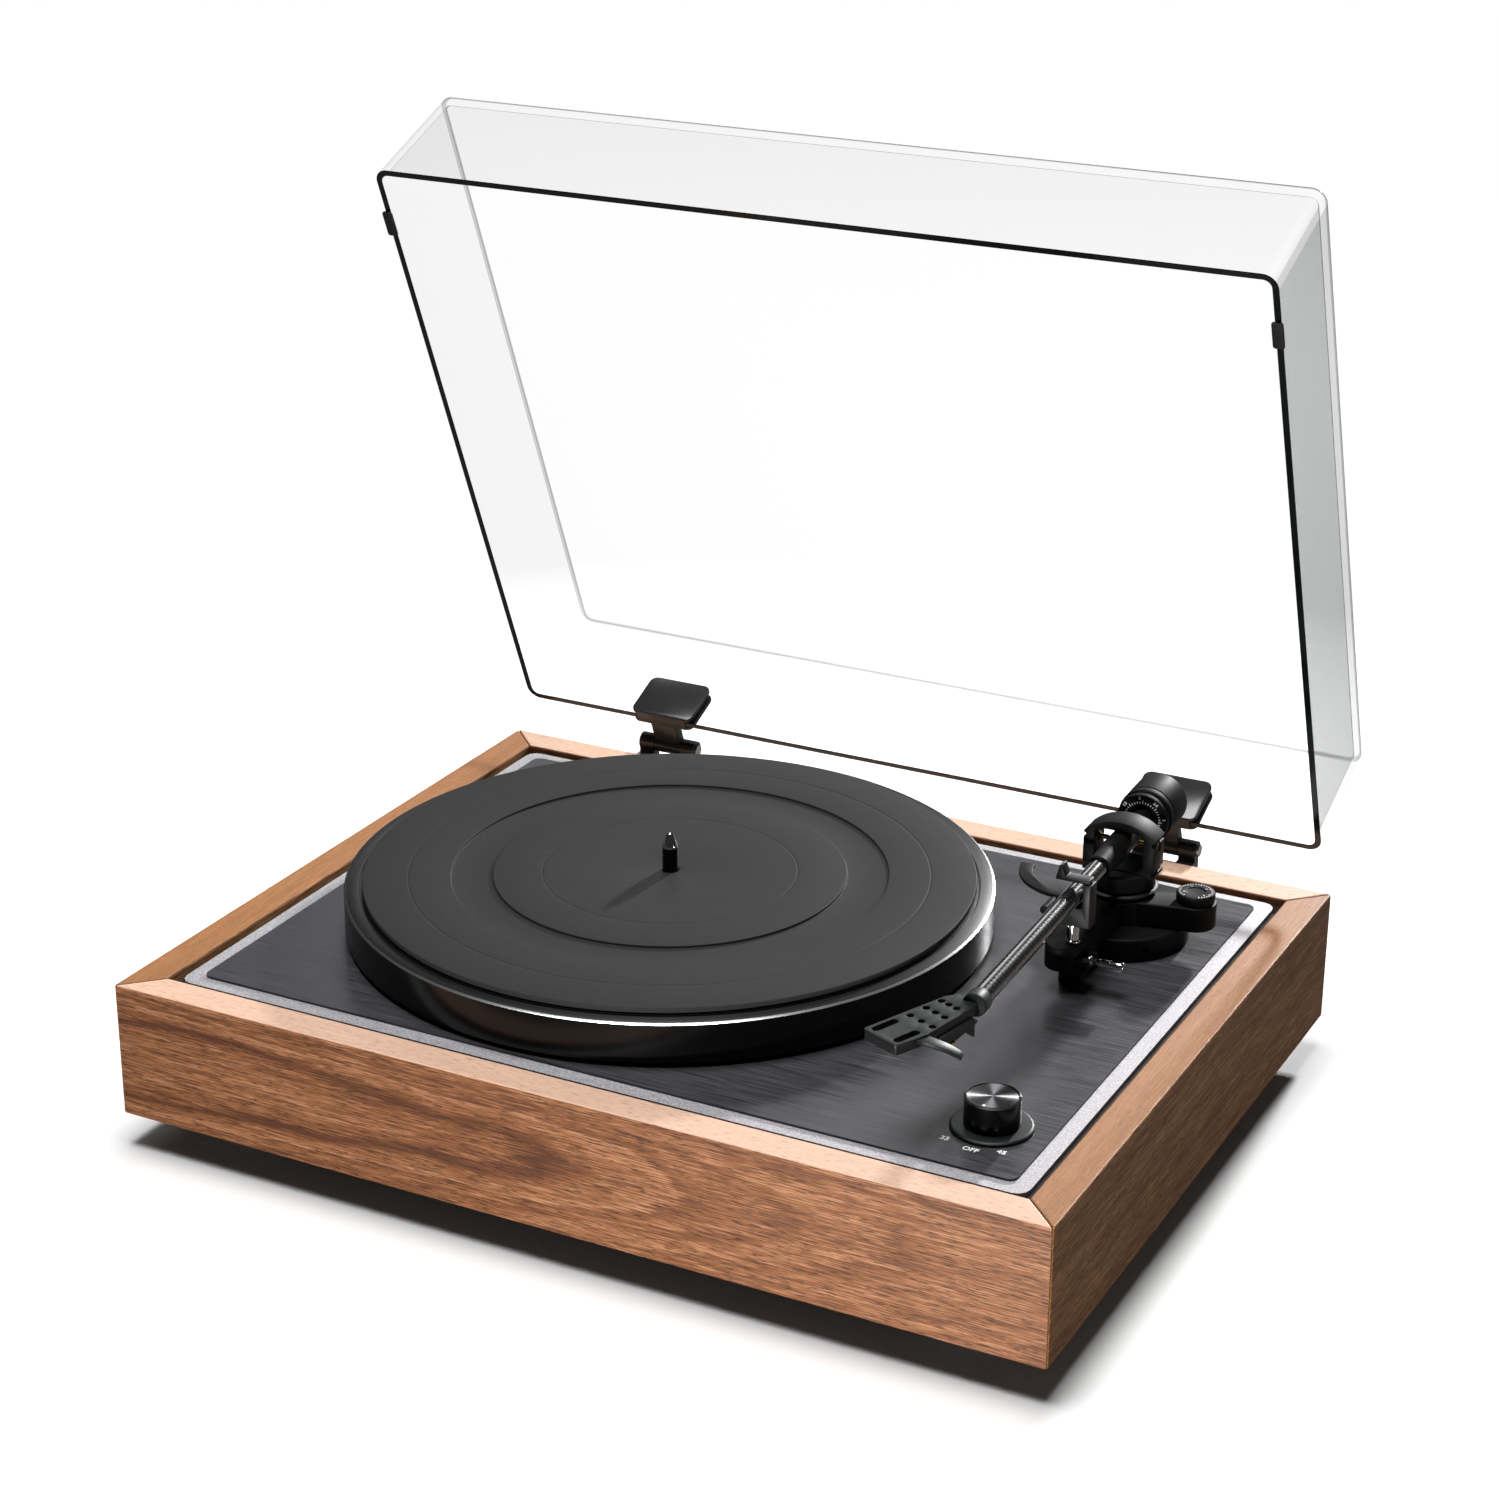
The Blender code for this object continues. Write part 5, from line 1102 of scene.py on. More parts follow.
@dataclass
class Cueing:
    """The damped lift, its curved blade under the tube and the chromed finger lever."""

    at: Point = (-0.0016, -0.0564)
    cylinder: float = 0.005
    piston: float = 0.0022
    top: float = 0.0404
    blade_thick: float = 0.0018
    blade_wide: float = 0.0064
    blade_arc: tuple[float, float, float] = (-0.007, -0.029, 0.0264)
    sweep: tuple[float, float] = (186.0, 284.0)
    lever_long: float = 0.0165
    ball: float = 0.0026

    def build(self) -> None:
        """Builds the cylinder, the blade and the lever."""
        low, high = (c.z - DECK.translation.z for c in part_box("cue_cylinder"))
        bore = self.piston + GAP
        tube = [(0, low), (self.cylinder, low), (self.cylinder, high), (bore, high), (bore, low + 0.003),
                (0, low + 0.003)]
        fit(paint(lathe("lift_cylinder", eased(tube, 0.0003, 2), BASE @ shift(*self.at, 0), 56), SATIN_BLACK),
            Body.PLINTH, "satin_black",
            "cue_cylinder")
        cx, cy, r = self.blade_arc
        a0, a1 = self.sweep
        outline = arc(cx, cy, r + self.blade_wide / 2, a0, a1, 48) + arc(cx, cy, r - self.blade_wide / 2, a1, a0, 44)
        blade = prism("cue_blade", outline, self.top - self.blade_thick, self.top, BASE, 0.0005)
        rod = lathe("rod", [(0, low + 0.006), (self.piston, low + 0.006), (self.piston, self.top - 0.0006),
                            (0, self.top - 0.0006)],
                    BASE @ shift(*self.at, 0), 36)
        peg = lathe("peg", eased([(0, 0), (0.0021, 0), (0.0021, 0.0145), (0.0016, 0.0152), (0, 0.0152)], 0.0003, 2),
                    BASE @ along((-0.0095, -0.0560, self.top - 0.0026), (0, -1, 0)), 32)
        fit(paint(combine(blade, [rod, peg]), SATIN_BLACK), Body.CUE_BAR, "satin_black", "cue_bar")
        self.lever()

    def lever(self) -> None:
        """The lever: a ball on its axle and a chromed handle."""
        pivot = Vector(joint("cue_lever_turn")["pos_m"])
        b, reach = self.ball, 0.006
        ball = [(0, -reach), (0.0012, -reach), (0.0012, -b * 0.88),
                *[(b * math.cos(math.radians(a)), b * math.sin(math.radians(a))) for a in range(-60, 61, 12)],
                (0.0012, b * 0.88), (0.0012, reach - 0.0004), (0, reach - 0.0004)]
        lever = lathe("cue_finger_lever", ball, along(pivot, (0, -1, 0)), 32)
        n = self.lever_long
        handle = [(0, 0.0005), (0.0013, 0.0005), (0.0014, 0.0040), (0.0021, 0.0050), (0.0024, n - 0.0016),
                  (0.0021, n - 0.0004), (0.0016, n), (0, n)]
        combine(lever, [lathe("handle", eased(handle, 0.0003, 2), along(pivot, (1, 0, 0)), 32)])
        fit(paint(lever, CHROME), Body.LEVER, "chrome", "cue_lever")


@dataclass
class ArmRest:
    """The post, the moulded rest and its latch with a pointed finger tab."""

    at: Point = (0.0018, -0.0635)
    post: float = 0.0027
    low: float = 0.0313
    high: float = 0.0403
    half: float = 0.004
    side: float = 0.0050
    wall: float = 0.0036
    latch: float = 0.0520
    latch_thick: float = 0.0020
    fin: float = 0.0590

    def build(self) -> None:
        """Builds the three pieces."""
        place = BASE @ shift(*self.at, 0)
        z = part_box("rest_post")[0].z - DECK.translation.z
        post = [(0, z), (self.post + 0.0007, z), (self.post + 0.0007, z + 0.001), (self.post, z + 0.0014),
                (self.post, self.low - GAP), (0, self.low - GAP)]
        fit(paint(lathe("chromed_post", eased(post, 0.0002, 2), place, 48), CHROME), Body.PLINTH, "chrome", "rest_post")
        side, wall, d = self.side, self.wall, self.half
        cradle = [(-0.0050, self.low), (side + wall, self.low), (side + wall, self.latch - GAP),
                  (side, self.latch - GAP), (side, self.high + 0.0004),
                  (side - 0.0016, self.high), (-0.0036, self.high), (-0.0050, self.high - 0.0014)]
        upright = place @ spin(90.0, "X")
        rest = prism("moulded_rest", eased(cradle, 0.0006, 3, True), -d, d, upright, 0.0005)
        fit(paint(rest, MOULDED_ABS), Body.PLINTH, "black_plastic", "rest_block")
        hub = side + wall / 2
        r = self.latch_thick / 2
        line = [*arc(hub, self.latch + r, r, -90, 90, 12), (-0.0036, self.latch + self.latch_thick),
                (-0.0056, self.fin), (-0.0066, self.fin),
                (-0.0084, self.latch)]
        fit(paint(prism("rest_latch_tab", line, -d + 0.0010, d - 0.0010, upright, 0.0003), MOULDED_ABS), Body.LATCH,
            "black_plastic", "rest_latch")


# ---------------------------------------------------------------- tonearm
@dataclass
class Yoke:
    """The bearing yoke: a crowned arch on a round foot, with a pivot screw in each leg."""

    half_wide: float = 0.017
    half_deep: float = 0.007
    leg: float = 0.0053
    shoulder: float = 0.0042
    rise: float = 0.0070
    window: tuple[float, float] = (-0.0120, 0.0068)
    foot: float = -0.0207
    foot_radius: float = 0.0155
    screw: float = 0.0022
    collar: float = 0.0059

    def build(self) -> None:
        """Builds the arch with its grooves and window, then the screws."""
        w, n = self.half_wide, 0.0011
        right = [(w, -0.0145), (w, -0.0130), (w - n, -0.0127), (w - n, -0.0112), (w, -0.0109), (w, 0.0014),
                 (w - n, 0.0017), (w - n, 0.0032), (w, 0.0035)]
        radius = (w ** 2 + self.rise ** 2) / (2 * self.rise)
        half = math.degrees(math.asin(w / radius))
        crown = arc(0, self.shoulder + self.rise - radius, radius, 90 - half, 90 + half, 40)
        outline = right + crown + [(-x, z) for x, z in reversed(right)]
        inner = w - self.leg
        gap = rounded(-inner, self.window[0], inner, self.window[1], 0.003, 8)
        upright = YOKE @ spin(90.0, "X")
        yoke = prism("bearing_yoke", outline, -self.half_deep, self.half_deep, upright, 0.0004, [gap])
        foot = [(0, self.foot), (self.foot_radius - 0.0006, self.foot), (self.foot_radius, self.foot + 0.0006),
                (self.foot_radius, -0.0131),
                (self.foot_radius - 0.0006, -0.0125), (0, -0.0125)]
        combine(yoke, [lathe("yoke_foot", eased(foot, 0.0003, 2), YOKE, 96)])
        hole = [(0, -0.03), (self.screw + GAP, -0.03), (self.screw + GAP, 0.03), (0, 0.03)]
        combine(yoke, [lathe("screw_bore", hole, YOKE @ along((0, 0, 0), (1, 0, 0)), 40)], "DIFFERENCE")
        fit(paint(yoke, SATIN_BLACK), Body.YOKE, "satin_black", "arm_yoke")
        for side, toward in (("left", -1), ("right", 1)):
            end = w - 0.0006
            at = YOKE @ along((0, 0, 0), (toward, 0, 0))
            c = self.collar + GAP
            profile = [(0, c), (0.0012, c + 0.0012), (0.0012, inner - 0.001), (self.screw, inner),
                       (self.screw, end - 0.0003), (self.screw - 0.0003, end), (0, end)]
            screw = lathe(f"pivot_screw_{side}_turned", eased(profile, 0.0002, 2), at, 40)
            turned = at @ spin(35.0, "Z")
            slot = block("slot", (-0.0003, -0.004, end - 0.0007), (0.0003, 0.004, end + 0.001), turned, 0.0)
            combine(screw, [slot], "DIFFERENCE")
            fit(paint(screw, TURNED_BRASS), Body.YOKE, "brass", f"pivot_screw_{side}")


@dataclass
class Arm:
    """Collar, carbon tube, tracking-force dial and counterweight, all along the tube's axis."""

    tube: float = 0.0044
    tube_end: float = 0.1775
    collar: float = 0.0059
    collar_front: float = 0.034
    collar_deep: float = 0.012
    stub: float = 0.005
    stub_end: float = 0.050
    dial: float = 0.0122
    dial_from: float = 0.025
    dial_thick: float = 0.0036
    weight: float = 0.013
    weight_long: float = 0.0235

    def build(self) -> None:
        """Builds the pieces from the pivot outwards."""
        c, f = self.collar, self.collar_front
        bore = self.tube + GAP
        collar = [(0, -self.stub_end), (self.stub, -self.stub_end), (self.stub, -0.0094), (c, -0.0090), (c, 0.0100),
                  (c + 0.0003, 0.0140),
                  (0.0054, f - 0.0016), (0.0056, f - 0.0012), (0.0051, f), (bore, f), (bore, f - self.collar_deep),
                  (0, f - self.collar_deep)]
        fit(paint(lathe("arm_sleeve", eased(collar, 0.0004, 3), FORWARD, 72), SATIN_BLACK), Body.ARM, "satin_black",
            "arm_collar")
        rear = f - self.collar_deep + GAP
        carbon = CarbonTwill("carbon_twill_tube", "#060607", 0.26, origin=tuple(PIVOT), turn=tuple(TUBE.to_euler()),
                             bump=0.04)
        tube = [(0, rear), (self.tube, rear), (self.tube, self.tube_end), (0, self.tube_end)]
        fit(paint(lathe("carbon_tube", tube, FORWARD, 64), carbon), Body.ARM, "carbon_weave", "arm_tube")
        self.dial_and_weight()

    def dial_and_weight(self) -> None:
        """The dial with its printed scale and the turned counterweight."""
        hole, r, d0 = self.stub + GAP, self.dial, -self.dial_from
        d1 = d0 - self.dial_thick
        disc = [(hole, d1), (r, d1), (r, d0), (hole + 0.0016, d0), (hole + 0.0016, d0 - 0.0004), (hole, d0 - 0.0004)]
        fit(paint(lathe("force_dial", eased(disc, 0.0005, 3, True), FORWARD, 96, True), SATIN_BLACK), Body.DIAL,
            "satin_black", "weight_dial")
        marks = []
        for i in range(40):
            turn = FORWARD @ spin(9 * i, "Z") @ shift(0, 0, d0)
            long = 0.0016 if i % 5 == 0 else 0.0010
            marks.append(block("tick", (-0.00016, 0.0079, 0.0), (0.00016, 0.0079 + long, 0.00004), turn, 0.0))
        for i, figure in enumerate(("0", "0.5", "1", "1.5", "2", "2.5", "3", "3.5")):
            turn = FORWARD @ spin(9 - 45 * i, "Z") @ shift(0, -0.0106, d0) @ spin(180, "Z")
            marks.append(lettering("figure", figure, 0.0014, turn))
        fit(paint(gather("force_scale", marks), WHITE_INK), Body.DIAL, "satin_black")
        w, z1 = self.weight, d1 - GAP
        z0 = z1 - self.weight_long
        turned = [(hole, z0), (0.0085, z0), (0.0090, z0 + 0.0006), (w - 0.0012, z0), (w, z0 + 0.0012), (w, z1 - 0.0050),
                  (w - 0.0004, z1 - 0.0047),
                  (w - 0.0004, z1 - 0.0042), (w, z1 - 0.0039), (w, z1 - 0.0008), (w - 0.0008, z1), (hole, z1)]
        fit(paint(lathe("balance_weight", eased(turned, 0.0003, 2, True), FORWARD, 120, True), SATIN_BLACK),
            Body.WEIGHT, "satin_black", "counterweight")


@dataclass
class Headshell:
    """The cut-out headshell with its side web, socket, finger lift and four leads."""

    angle: float = 24.0
    wide: float = 0.0194
    long: float = 0.0500
    thick: float = 0.0046
    neck: float = 0.0030
    raised: float = 0.0015
    flare: tuple[float, float] = (0.0010, 0.0165)
    heel: tuple[float, float] = (0.0155, 0.004)
    hole: float = 0.00165
    slot_wide: float = 0.0037
    slot_long: float = 0.0135
    slot_pitch: float = 0.0127
    rows: tuple[tuple[float, tuple[float, ...]], ...] = (
        (0.0222, (0.0040, 0.0106, 0.0170)), (0.0316, (0.0034, 0.0088, 0.0142)), (0.0405, (0.0030, 0.0073, 0.0117)))
    tube: float = 0.0044
    tube_end: float = 0.1775
    lead: float = 0.0008
    lead_step: float = 0.0011

    def place(self) -> Matrix:
        """Its frame: zero at the front left corner's top, Y to the rear, X to the right."""
        neck = TUBE @ Vector((0, -self.tube_end, 0))
        base = TUBE.to_3x3().to_4x4() @ spin(-self.angle, "Z")
        return Matrix.Translation(neck - base @ Vector((0.0110, self.long + self.neck, -self.raised))) @ base

    def build(self) -> None:
        """Builds the plate and what stands on it, then the leads."""
        head = self.place()
        w, t, n = self.wide, self.thick, self.long
        (flare, flare_at), (heel, heel_at) = self.flare, self.heel
        outline = [(0.0010, 0), (w - 0.0012, 0), (w - 0.0003, 0.0004), (w, 0.0012), (w + flare, flare_at),
                   (heel, n - heel_at), (0.0145, n),
                   (0.0030, n), (0.0008, n - 0.005), (0, 0.0010)]
        holes = [arc(x, y, self.hole, 0, 345, 23) for y, row in self.rows for x in row]
        s = self.slot_wide / 2
        for x in (0.0036, 0.0036 + self.slot_pitch):
            holes.append(rounded(x - s, 0.0020, x + s, 0.0020 + self.slot_long, s - 0.00001, 8)[:-1])
        plate = prism("open_headshell", eased(outline, 0.0006, 3, True), -t, 0, head, 0.00032, holes)
        slope = math.atan2(w + flare - heel, n - heel_at - flare_at)
        reach = (n - heel_at - flare_at) / math.cos(slope)
        web = [(0, -0.004), (0, -0.0046), (reach * 0.60, -0.0090), (reach * 0.78, -0.0080), (reach * 0.86, -0.0100),
               (reach * 0.98, -0.0128),
               (reach * 0.98, -0.004)]
        at = head @ shift(w + flare, flare_at, 0) @ Matrix.Rotation(slope + math.radians(90), 4, "Z") @ spin(90.0, "X")
        r = self.tube + GAP
        e = self.tube_end
        socket = [(0, e + GAP), (r, e + GAP), (r, e - 0.0034), (r + 0.0003, e - 0.0034), (r + 0.0006, e - 0.0030),
                  (r + 0.0006, e + 0.0032),
                  (r + 0.0002, e + 0.0036), (0, e + 0.0036)]
        combine(plate, [prism("web", web, -0.0001, 0.0019, at, 0.0003), lathe("socket", socket, FORWARD, 56),
                        self.finger_lift(head)])
        fit(paint(plate, SLATE_BLACK), Body.ARM, "satin_black", "headshell")
        self.leads(head)

    def finger_lift(self, head: Matrix) -> bpy.types.Object:
        """The strip that leaves the right edge, sweeps out and curls down."""
        w = self.wide
        spine = [Vector(p) for p in ((w - 0.002, 0.0135, -0.0010), (w + 0.002, 0.0140, -0.0008),
                                     (w + 0.006, 0.0160, -0.0014),
                                     (w + 0.0095, 0.0190, -0.0030), (w + 0.0125, 0.0225, -0.0056),
                                     (w + 0.0135, 0.0236, -0.0068))]
        halves = [Vector((h, 0, 0)) for h in (0.0030, 0.0029, 0.0026, 0.0023, 0.0020, 0.0018)]
        sections = []
        for p, half in zip(smooth_path(spine, 5), smooth_path(halves, 5)):
            h = half.x
            sections.append([Vector((p.x + 0.5 * h, p.y - h, p.z)), Vector((p.x - 0.5 * h, p.y + h, p.z)),
                             Vector((p.x - 0.5 * h, p.y + h, p.z - 0.0018)),
                             Vector((p.x + 0.5 * h, p.y - h, p.z - 0.0018))])
        return sweep("finger_lift", sections, head, 0.0003)

    def leads(self, head: Matrix) -> None:
        """The four signal leads, each with a plated clip on its end."""
        for i, (colour, finish) in enumerate((("white", WHITE_JACKET), ("green", GREEN_JACKET), ("red", RED_JACKET),
                                              ("blue", BLUE_JACKET))):
            step = self.lead_step * i
            x0, x1, front = 0.0096 + step, 0.0178 - step, 0.0246 + step
            under, end = -0.0107 + 0.15 * step, 0.0310 + 1.9 * step
            route = [(x0 + 0.0004, 0.0508, -0.0081), (x0 + 0.0002, 0.0500, -0.0096), (x0, 0.0460, under),
                     (x0 - 0.0004, 0.0370, under - 0.0006),
                     (x0, front + 0.0050, under - 0.0004), (x0 + 0.30 * (x1 - x0), front + 0.0010, under),
                     (x0 + 0.70 * (x1 - x0), front + 0.0010, under),
                     (x1, front + 0.0045, under), (x1, end, under)]
            line = [head @ p for p in smooth_path([Vector(p) for p in route], 5)]
            curve = bpy.data.curves.new(f"signal_lead_{colour}", "CURVE")
            curve.dimensions = "3D"
            curve.bevel_depth, curve.bevel_resolution, curve.use_fill_caps = self.lead / 2, 3, True
            spline = curve.splines.new("POLY")
            spline.points.add(len(line) - 1)
            for point, at in zip(spline.points, line):
                point.co = (*at, 1)
            wire = bpy.data.objects.new(f"signal_lead_{colour}", curve)
            bpy.context.scene.collection.objects.link(wire)
            fit(paint(wire, finish), Body.ARM, f"lead_{colour}", f"lead_{colour}")
            clip = [(0, -0.0004), (0.00062, -0.0004), (0.00062, 0.0030), (0.00048, 0.0034), (0, 0.0034)]
            clip_piece = lathe(f"lead_clip_{colour}", clip, along(line[-1], line[-1] - line[-2]), 20)
            fit(paint(clip_piece, TURNED_BRASS), Body.ARM, f"lead_{colour}")


# ---------------------------------------------------------------- dust cover
@dataclass
class DustCover:
    """The clear acrylic cover, its two rubber bumpers and the hinge leaves that clip its rear wall."""

    wide: float = 0.4346
    deep: float = 0.3287
    tall: float = 0.064
    wall: float = 0.003
    rim: float = 0.002
    corner: float = 0.007
    bend: float = 0.0016
    hinge_x: float = 0.1375
    hinge_wide: float = 0.0348
    leaf_thick: float = 0.0020
    leaf_tall: float = 0.0265
    knuckle: float = 0.0045
    knuckle_half: float = 0.0075
    pin: float = 0.0018
    bumper: tuple[float, float, float] = (0.013, 0.0052, 0.0014)
    bumper_back: float = 0.0225

    def build(self) -> None:
        """Builds the shell, then the bumpers and leaves."""
        self.shell()
        long, across, thick = self.bumper
        inner = self.wide / 2 - self.wall / 2
        y1 = -self.deep / 2 + self.bumper_back + long
        for side, sign in (("left", -1), ("right", 1)):
            x = sign * inner
            pad = prism(f"rubber_bumper_{side}", rounded(x - across / 2, y1 - long, x + across / 2, y1, 0.0012, 6),
                        self.rim - GAP - thick,
                        self.rim - GAP, CLOSED, 0.0004)
            fit(paint(pad, BLACK_RUBBER), Body.COVER, "black_rubber", f"bumper_{side}")
            self.leaf(side, sign * self.hinge_x)
            dress(f"hinge_bracket_{side}", HINGE_BLACK)
            dress(f"hinge_pin_{side}", CHROME)

    def shell(self) -> None:
        """The folded sheet: clear faces, bends that gather the dark, a right wall with a painted grey reflection, and a
        rim that looks black along the sheet.
        """
        w, d, t, z, top = self.wide / 2, self.deep / 2, self.wall, self.rim, self.rim + self.tall
        bm = bmesh.new()

        def loop(inset: float, height: float) -> list[bmesh.types.BMVert]:
            """One ring of the shell, drawn in by inset."""
            r = max(self.corner - inset, 0.0008)
            outline = rounded(-w + inset, -d + inset, w - inset, d - inset, r, 10)
            return [bm.verts.new((x, y, height)) for x, y in outline]

        b, e = self.bend, 0.0003
        outer = [loop(e, z), loop(0, z + e), loop(0, top - b)]
        outer += [loop(b * (1 - math.cos(a)), top - b + b * math.sin(a))
                  for a in (math.radians(k) for k in (22.5, 45, 67.5, 90))]
        inner = [loop(t - e, z), loop(t, z + e), loop(t, top - t - 0.0006), loop(t + 0.0006, top - t)]
        kinds = [1, 0, 2, 2, 2, 2]
        # The long face of the right wall carries a painted grey reflection.
        reflection_faces = (10,)    # the long face of the right wall
        for rings, numbers in ((outer, kinds), (inner, [1, 0, 2])):
            for a, c, kind in zip(rings, rings[1:], numbers):
                for i in range(len(a)):
                    j = (i + 1) % len(a)
                    bm.faces.new((a[i], a[j], c[j], c[i])).material_index = 3 if kind == 0 and i in reflection_faces else kind
        for i in range(len(outer[0])):
            j = (i + 1) % len(outer[0])
            bm.faces.new((outer[0][i], inner[0][i], inner[0][j], outer[0][j])).material_index = 1
        bm.faces.new(outer[-1])
        bm.faces.new(inner[-1])
        cover = shape("acrylic_cover", bm, CLOSED, 30.0)
        half = self.hinge_wide / 2 - 0.0030 + GAP
        paint(cover, CLEAR_ACRYLIC, ACRYLIC_RIM, ACRYLIC_BEND, ACRYLIC_PAINTED_REFLECTION)
        combine(cover, [block("notch", (x - half, d - t - 0.005, z - 0.01), (x + half, d + 0.005, z + 0.0045), CLOSED,
                              0.0)
                        for x in (-self.hinge_x, self.hinge_x)], "DIFFERENCE")
        fit(cover, Body.COVER, "clear_acrylic", "dust_cover")

    def leaf(self, side: str, x: float) -> None:
        """A clip over the cover's rear wall with an arm back to the hinge line."""
        d, z = self.deep / 2, self.rim
        inner, outer, half, t = d - self.wall - GAP, d + GAP, self.hinge_wide / 2, self.leaf_thick
        hinge = DECK.inverted() @ HINGE
        upright = CLOSED @ spin(90.0, "X")
        face = rounded(x - half, z - 0.0004, x + half, z + self.leaf_tall, 0.004, 8)
        leaf = prism(f"hinge_clip_{side}", face, -inner, -inner + t, upright, 0.0004)
        k = self.knuckle_half - GAP
        parts = [prism("outer", face, -outer - t, -outer, upright, 0.0004),
                 block("web", (x - half + 0.0032, inner - 0.001, z - 0.00039),
                       (x + half - 0.0032, outer + 0.001, z + 0.0040), CLOSED, 0.0003),
                 block("arm", (x - k, outer + t - 0.001, z + 0.0001), (x + k, hinge.y, hinge.z + 0.0038), CLOSED,
                       0.0005),
                 lathe("knuckle", eased([(0, -k), (self.knuckle, -k), (self.knuckle, k), (0, k)], 0.0004),
                       CLOSED @ along((x, hinge.y, hinge.z), (1, 0, 0)), 40)]
        combine(leaf, parts)
        bore = self.pin + GAP
        combine(leaf, [lathe("bore", [(0, -0.02), (bore, -0.02), (bore, 0.02), (0, 0.02)],
                             CLOSED @ along((x, hinge.y, hinge.z), (1, 0, 0)), 28)], "DIFFERENCE")
        fit(paint(leaf, HINGE_BLACK), Body.COVER, "satin_black", f"hinge_leaf_{side}")


# ---------------------------------------------------------------- studio
@dataclass(frozen=True)
class Lamp:
    """One soft lamp, aimed at a point."""

    name: str
    at: tuple[float, float, float]
    aim: tuple[float, float, float]
    size: tuple[float, float]
    power: float

    def build(self) -> None:
        """Hangs the lamp."""
        data = bpy.data.lights.new(self.name, "AREA")
        data.shape, data.size, data.size_y, data.energy = "RECTANGLE", *self.size, self.power
        lamp = bpy.data.objects.new(self.name, data)
        lamp.location = self.at
        lamp.rotation_euler = (Vector(self.aim) - Vector(self.at)).to_track_quat("-Z", "Y").to_euler()
        bpy.context.scene.collection.objects.link(lamp)


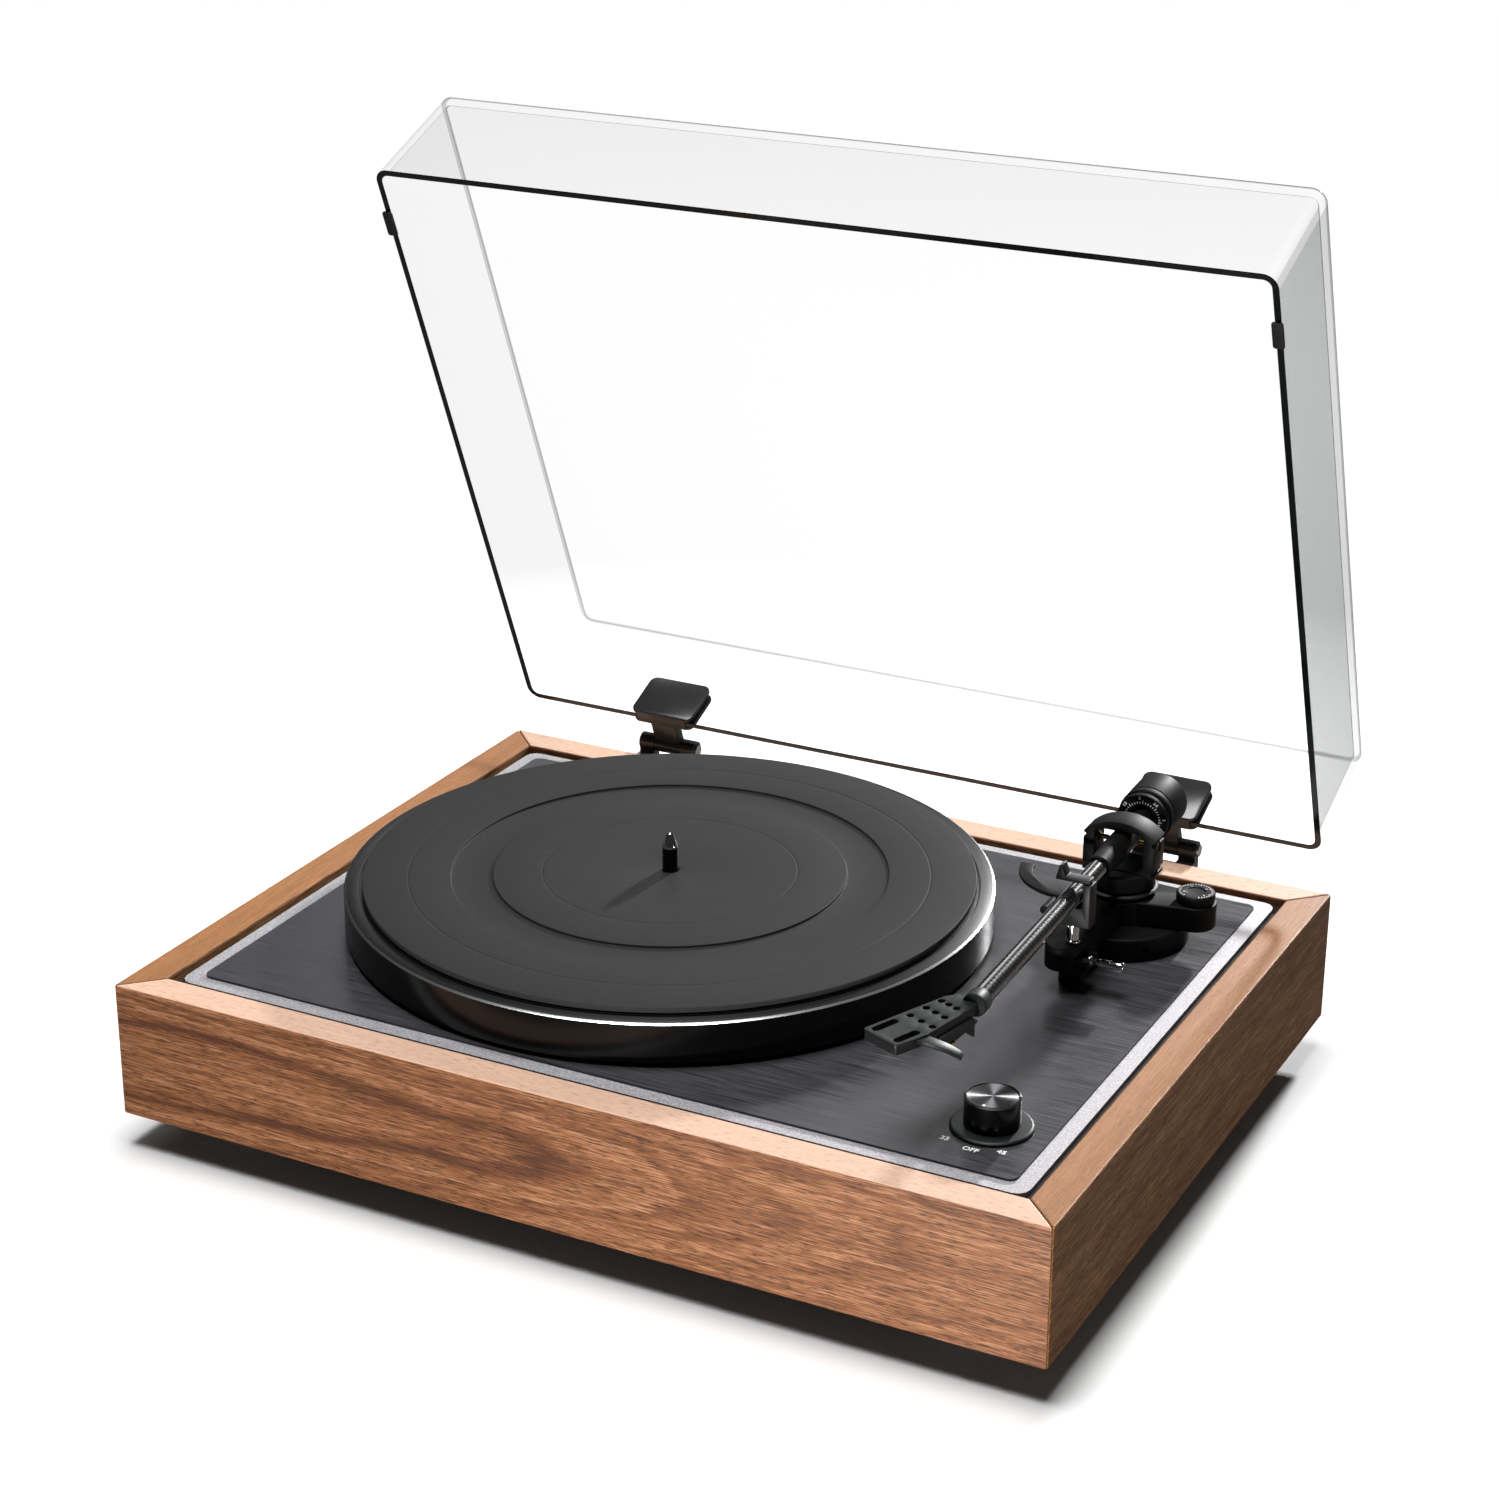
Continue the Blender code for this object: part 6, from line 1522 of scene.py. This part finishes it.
@dataclass
class Studio:
    """A white floor that keeps the shadow, soft lamps, and the camera."""

    eye: tuple[float, float, float] = (0.6025, -1.1914, 0.7065)
    right: tuple[float, float, float] = (0.88813, 0.45957, 0.00364)
    forward: tuple[float, float, float] = (-0.42434, 0.82303, -0.37756)
    lens: float = 75.97
    floor_half: float = 9.0
    glow: float = 0.001
    ambient: float = 0.02
    gleam: float = 0.03
    bounce: float = 0.12
    fade: tuple[float, float] = (0.40, 0.75)
    lamps: tuple[Lamp, ...] = (
        Lamp("overhead_softbox", (-0.20, -0.15, 3.0), (-0.05, -0.05, 0.0), (1.3, 1.3), 98.0),
        Lamp("rear_spot", (0.16, 1.90, 0.80), (0.10, 0.0, 0.06), (0.12, 0.12), 48.0),
        Lamp("rear_softbox", (-0.95, 1.70, 1.05), (0.05, -0.05, 0.06), (0.90, 0.55), 4.0),
        Lamp("front_card", (0.215, -0.92, 0.005), (0.14, -0.20, 0.030), (0.30, 0.008), 7.2),
        Lamp("side_card", (1.25, 0.05, 0.005), (0.20, 0.0, 0.030), (0.30, 0.008), 1.1),
    )

    def build(self) -> None:
        """Sets up the camera, the floor, the world and the lamps."""
        scene = bpy.context.scene
        data = bpy.data.cameras.new("camera")
        data.lens, data.sensor_width, data.clip_end = self.lens, 36.0, 50.0
        camera = bpy.data.objects.new("camera", data)
        right, forward = Vector(self.right).normalized(), Vector(self.forward).normalized()
        up = right.cross(forward)
        camera.matrix_world = Matrix.Translation(self.eye) @ Matrix((right, up, -forward)).transposed().to_4x4()
        scene.collection.objects.link(camera)
        scene.camera = camera
        scene.view_settings.view_transform = "Standard"
        self.floor()
        self.world()
        for lamp in self.lamps:
            lamp.build()

    def seen(self, tree: bpy.types.NodeTree) -> bpy.types.NodeSocket:
        """One where the eye, or a view through the cover, meets the surface, and zero elsewhere."""
        path = add_node(tree, "ShaderNodeLightPath")
        both = add_node(tree, "ShaderNodeMath", {"operation": "MAXIMUM"},
                        {0: path.outputs["Is Camera Ray"], 1: path.outputs["Is Transmission Ray"]})
        return both.outputs["Value"]

    def floor(self) -> None:
        """The floor: matt white paper that glows a little to the eye, so that it meets the white round it."""
        bm = bmesh.new()
        h = self.floor_half
        bm.faces.new([bm.verts.new((x, y, 0.0)) for x, y in ((-h, -h), (h, -h), (h, h), (-h, h))])
        floor = shape("paper_floor", bm)
        made = bpy.data.materials.new("white_paper")
        made.use_nodes = True
        tree = made.node_tree
        shader = tree.nodes["Principled BSDF"]
        shader.inputs["Roughness"].default_value = 0.9
        shader.inputs["Specular IOR Level"].default_value = 0.1
        shader.inputs["Emission Color"].default_value = (1.0, 1.0, 1.0, 1.0)
        seen = self.seen(tree)
        # White to the eye, and greyer to the light that it throws back up, as with dark flags beside the table.
        place = add_node(tree, "ShaderNodeTexCoord").outputs["Object"]
        away = add_node(tree, "ShaderNodeVectorMath", {"operation": "LENGTH"}, {0: place})
        start, end = self.fade
        span = {"From Min": start, "From Max": end}
        near = add_node(tree, "ShaderNodeMapRange", {**span, "To Min": 1.0, "To Max": 0.0},
                        {"Value": away.outputs["Value"]})
        paper = add_node(tree, "ShaderNodeMix", {"data_type": "RGBA", 6: (*[self.bounce] * 3, 1.0)},
                         {0: seen, 7: near.outputs["Result"]})
        tree.links.new(paper.outputs[2], shader.inputs["Base Color"])
        # Away from the object the paper's own glow takes over from the light on it, so that it stays an even white.
        far = add_node(tree, "ShaderNodeMapRange", {**span, "To Min": self.glow, "To Max": 1.0},
                       {"Value": away.outputs["Value"]})
        glow = add_node(tree, "ShaderNodeMath", {"operation": "MULTIPLY"}, {0: seen, 1: far.outputs["Result"]})
        tree.links.new(glow.outputs["Value"], shader.inputs["Emission Strength"])
        floor.data.materials.append(made)

    def world(self) -> None:
        """The world: white to the eye, low and even to the surfaces, and nearly black in reflections."""
        world = bpy.data.worlds.new("white_room")
        world.use_nodes = True
        tree = world.node_tree
        path = add_node(tree, "ShaderNodeLightPath")
        dim = add_node(tree, "ShaderNodeMapRange", {"To Min": self.gleam, "To Max": self.ambient},
                       {"Value": path.outputs["Is Diffuse Ray"]})
        level = add_node(tree, "ShaderNodeMath", {"operation": "MAXIMUM"},
                         {0: self.seen(tree), 1: dim.outputs["Result"]})
        tree.links.new(level.outputs["Value"], tree.nodes["Background"].inputs["Strength"])
        tree.nodes["Background"].inputs["Color"].default_value = (1.0, 1.0, 1.0, 1.0)
        bpy.context.scene.world = world


def main() -> None:
    """Builds the turntable's sub-assemblies in order."""
    logging.basicConfig(level=logging.INFO, format="%(name)s: %(message)s")
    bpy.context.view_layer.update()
    for assembly in (Studio(), Headshell(), Plinth(), Terminals(), Platter(), SpeedControl(), ArmBase(), Cueing(),
                     ArmRest(), Yoke(), Arm(), DustCover()):
        LOG.info("building %s", type(assembly).__name__)
        assembly.build()


if __name__ == "__main__":
    main()
